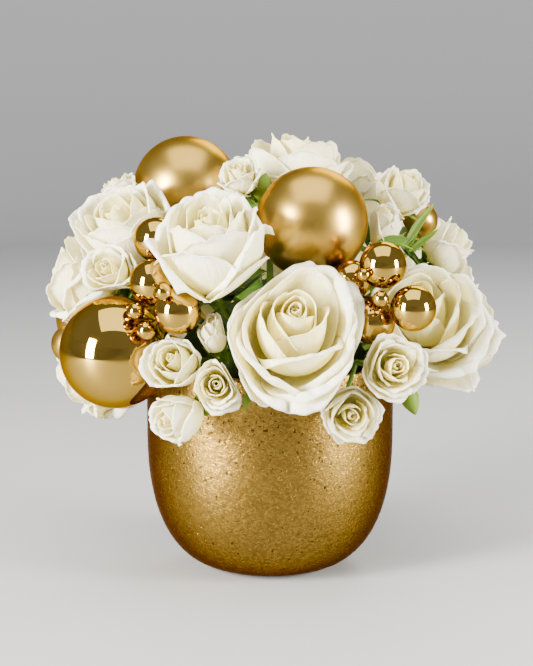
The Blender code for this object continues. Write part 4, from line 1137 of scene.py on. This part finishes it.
def worked(points):
    """Gives the outside of the bowl its shallow relief: short strokes in two directions."""
    for p in points:
        x, y, z = p
        r = math.hypot(x, y)
        low = max(0.0, 1.0 - z / BOWL_ROUND) ** BOWL_POWER
        side = BOWL_FOOT + (BOWL_RADIUS - BOWL_FOOT) * (1.0 - low) ** (1.0 / BOWL_POWER)
        if z < 1.0 or z > BOWL_HEIGHT - 2.0 or r < side - 0.5:
            continue
        strokes = []
        for slant, shift in ((STROKE_SLANT, 0.0), (-STROKE_SLANT, 9.0)):
            at = (x * STROKE_ACROSS + z * slant + shift, y * STROKE_ACROSS, z * STROKE_UP - x * slant)
            strokes.append(noise.noise(Vector(at)))
        grow = 1.0 + RELIEF * max(strokes) / r
        p[0] *= grow
        p[1] *= grow


def bowl_side(radius, base, steps):
    """The bowl's round side, from its foot up to where it becomes upright."""
    points = []
    for i in range(steps):
        a = math.pi / 2 * i / (steps - 1)
        r = BOWL_FOOT + (radius - BOWL_FOOT) * math.sin(a) ** (2 / BOWL_POWER)
        points.append((r, base + (BOWL_ROUND - base) * (1 - math.cos(a) ** (2 / BOWL_POWER))))
    return points


def bowl():
    inside = BOWL_RADIUS - BOWL_WALL
    rim = BOWL_HEIGHT - RIM_ROUND
    outer = bowl_side(BOWL_RADIUS, 0.0, 90)
    outer += [(BOWL_RADIUS, z) for z in np.linspace(BOWL_ROUND, rim, 44)[1:]]
    for a in np.linspace(0, math.pi, 9)[1:-1]:
        outer.append((BOWL_RADIUS - RIM_ROUND + RIM_ROUND * math.cos(a), rim + RIM_ROUND * math.sin(a)))
    outer += [(inside, z) for z in np.linspace(rim, BOWL_ROUND, 4)[:-1]]
    foot = [(BOWL_FOOT * k / 6, 0.0) for k in range(6)]
    floor = [(BOWL_FOOT * k / 4, BOWL_BASE) for k in (3, 2, 1, 0)]
    profile = foot + outer + bowl_side(inside, BOWL_BASE, 12)[::-1] + floor
    pile = Pile()
    pile.lathe(profile, 400)
    worked(pile.points[0])
    obj = pile.build("bowl_gold_leaf", GOLD_LEAF)
    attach(obj, "root")
    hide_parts("bowl")


bowl()

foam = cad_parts["floral_foam"]
foam.data.materials.clear()
foam.data.materials.append(FOAM)


# Baubles: the radius of a cap as a share of the ball's, and its side as shares of that radius and heights
# above the ball
CAP_SHARE = 0.16
CAP_SIDE = ((1.06, 0.2), (1.0, 0.8), (1.0, 2.2), (0.9, 2.6), (0.0, 2.7))


def bauble(key):
    centre, radius = BAUBLE[key]
    centre = np.array(centre, float)
    enter, inside = foam_entry(centre)
    way = unit(inside - centre)
    mirror = "mirror" in key
    pile = Pile()
    pile.ball(centre, radius, 96 if radius > LARGE_BALL else 56, way)
    cap = radius * CAP_SHARE
    profile = [(0.0, 0.93 * radius), (cap, 0.95 * radius)]
    profile += [(cap * wide, radius + high) for wide, high in CAP_SIDE]
    pile.lathe(profile, 32, (frame_of(way), centre))
    pile.pipe([centre + way * (radius + 1.0), inside - way * 0.4], PICK, 12)
    obj = pile.build(key + "_ball", MIRROR if mirror else SATIN)
    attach(obj, "root")
    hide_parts(key)


def bunch(key):
    fork, balls = BUNCH[key]
    fork = np.array(fork, float)
    enter, inside = foam_entry(fork)
    pile = Pile()
    wires = Pile()
    down = unit(inside - fork)
    wires.pipe([fork - down * 1.0, inside - down * 0.4], PICK, 12)
    wires.ball(fork, 2.4, 20)
    for centre, radius in balls:
        centre = np.array(centre, float)
        way = unit(fork - centre)
        pile.ball(centre, radius, 64 if radius > 8 else 32, way)
        neck = max(radius * CAP_SHARE, 1.2)
        profile = [(0.0, 0.9 * radius), (neck, 0.94 * radius), (neck, radius + 0.9), (0.0, radius + 1.0)]
        wires.lathe(profile, 20, (frame_of(way), centre))
        wires.pipe([centre + way * radius * 0.9, fork], WIRE, 8)
    parts = ((pile, "_balls", MIRROR, "mirror_gold"), (wires, "_wires", SATIN, "satin_gold"))
    for part, name, mat, slot in parts:
        obj = part.build(key + name, mat)
        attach(obj, "root")
        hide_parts(key)


for key in BAUBLE:
    bauble(key)
for key in BUNCH:
    bunch(key)


# Floor, light and camera, in metres
FLOOR_RADIUS = 1.6
COVE_RADIUS = 0.9
FLOOR_SIDES = 64
FLOOR_GAP = 0.0002


def stage_material():
    """Pale round the object and painted greyer towards the walls of the room, as a painted falloff of the
    light.
    """
    n = Nodes("pale_floor")
    body = n.tones(n.noise(3.0, 3.0), (0.33, 0.326, 0.318), (0.36, 0.356, 0.348))
    # Painted shade: the floor darkens with distance from the object's middle, from 0.35 m out to 1.5 m.
    far = n.new("ShaderNodeVectorMath", operation="LENGTH")
    n.put(n.place(), far.inputs[0])
    body = n.mix(n.span(far.outputs["Value"], 0.35, 1.5), body, (0.26, 0.26, 0.265))
    n.surface(Base_Color=body, Roughness=0.6)
    return n.mat


def floor():
    """A floor that curves up into a backdrop on every side of a wide round room."""
    profile = [(FLOOR_RADIUS, 0.0)]
    for a in np.linspace(0.05, math.pi / 2, 14):
        profile.append((FLOOR_RADIUS + COVE_RADIUS * math.sin(a), COVE_RADIUS - COVE_RADIUS * math.cos(a)))
    angle = np.linspace(0, 2 * math.pi, FLOOR_SIDES, endpoint=False)
    verts = [(0.0, 0.0, -FLOOR_GAP)]
    for r, z in profile:
        verts += [(r * math.cos(a), r * math.sin(a), z - FLOOR_GAP) for a in angle]
    after = [(j + 1) % FLOOR_SIDES for j in range(FLOOR_SIDES)]
    faces = [(0, 1 + j, 1 + k) for j, k in enumerate(after)]
    for i in range(len(profile) - 1):
        low = 1 + i * FLOOR_SIDES
        high = low + FLOOR_SIDES
        faces += [(low + j, high + j, high + k, low + k) for j, k in enumerate(after)]
    mesh = bpy.data.meshes.new("floor")
    mesh.from_pydata(verts, [], faces)
    mesh.shade_smooth()
    mesh.materials.append(stage_material())
    obj = in_scene("floor", mesh)


floor()


# Where the lights aim
MIDDLE = (0.0, 0.0, 0.17)


def area_light(name, place, width, height, power, colour=(1, 1, 1)):
    light = bpy.data.lights.new(name, "AREA")
    light.shape = "RECTANGLE"
    light.size = width
    light.size_y = height
    light.energy = power
    light.color = colour
    obj = in_scene(name, light)
    obj.location = place
    obj.rotation_euler = (Vector(MIDDLE) - Vector(place)).to_track_quat("-Z", "Y").to_euler()


def around(azimuth, elevation, distance):
    """A place round the object: azimuth 0 is in front of it and grows to the right."""
    a, e = math.radians(azimuth), math.radians(elevation)
    out = distance * math.cos(e)
    return (out * math.sin(a), -out * math.cos(a), MIDDLE[2] + distance * math.sin(e))


area_light("key_light", around(-50, 12, 1.45), 0.40, 0.84, 160.0, (1.0, 0.985, 0.96))
area_light("fill_light", around(66, 9, 1.45), 0.40, 0.70, 80.0)
area_light("top_light", (0.0, -0.20, 1.50), 1.5, 1.5, 30.0)
area_light("back_light", around(160, 32, 1.5), 0.7, 0.7, 14.0)

world = bpy.data.worlds.new("studio")
bpy.context.scene.world = world
world.use_nodes = True
sky = world.node_tree.nodes["Background"]
sky.inputs["Color"].default_value = (0.84, 0.85, 0.87, 1.0)
sky.inputs["Strength"].default_value = 0.45

# The camera looks at TARGET from DISTANCE in front of it and ELEVATION above level
TARGET = np.array([-0.0023, 0.0, 0.153])
DISTANCE = 1.4
ELEVATION = math.radians(10.0)
camera = bpy.data.cameras.new("camera")
camera.lens = 116.78
camera.sensor_width = 36.0
camera.clip_start = 0.05
eye = in_scene("camera", camera)
eye.location = TARGET + DISTANCE * np.array([0.0, -math.cos(ELEVATION), math.sin(ELEVATION)])
eye.rotation_euler = (math.pi / 2 - ELEVATION, 0.0, 0.0)
bpy.context.scene.camera = eye
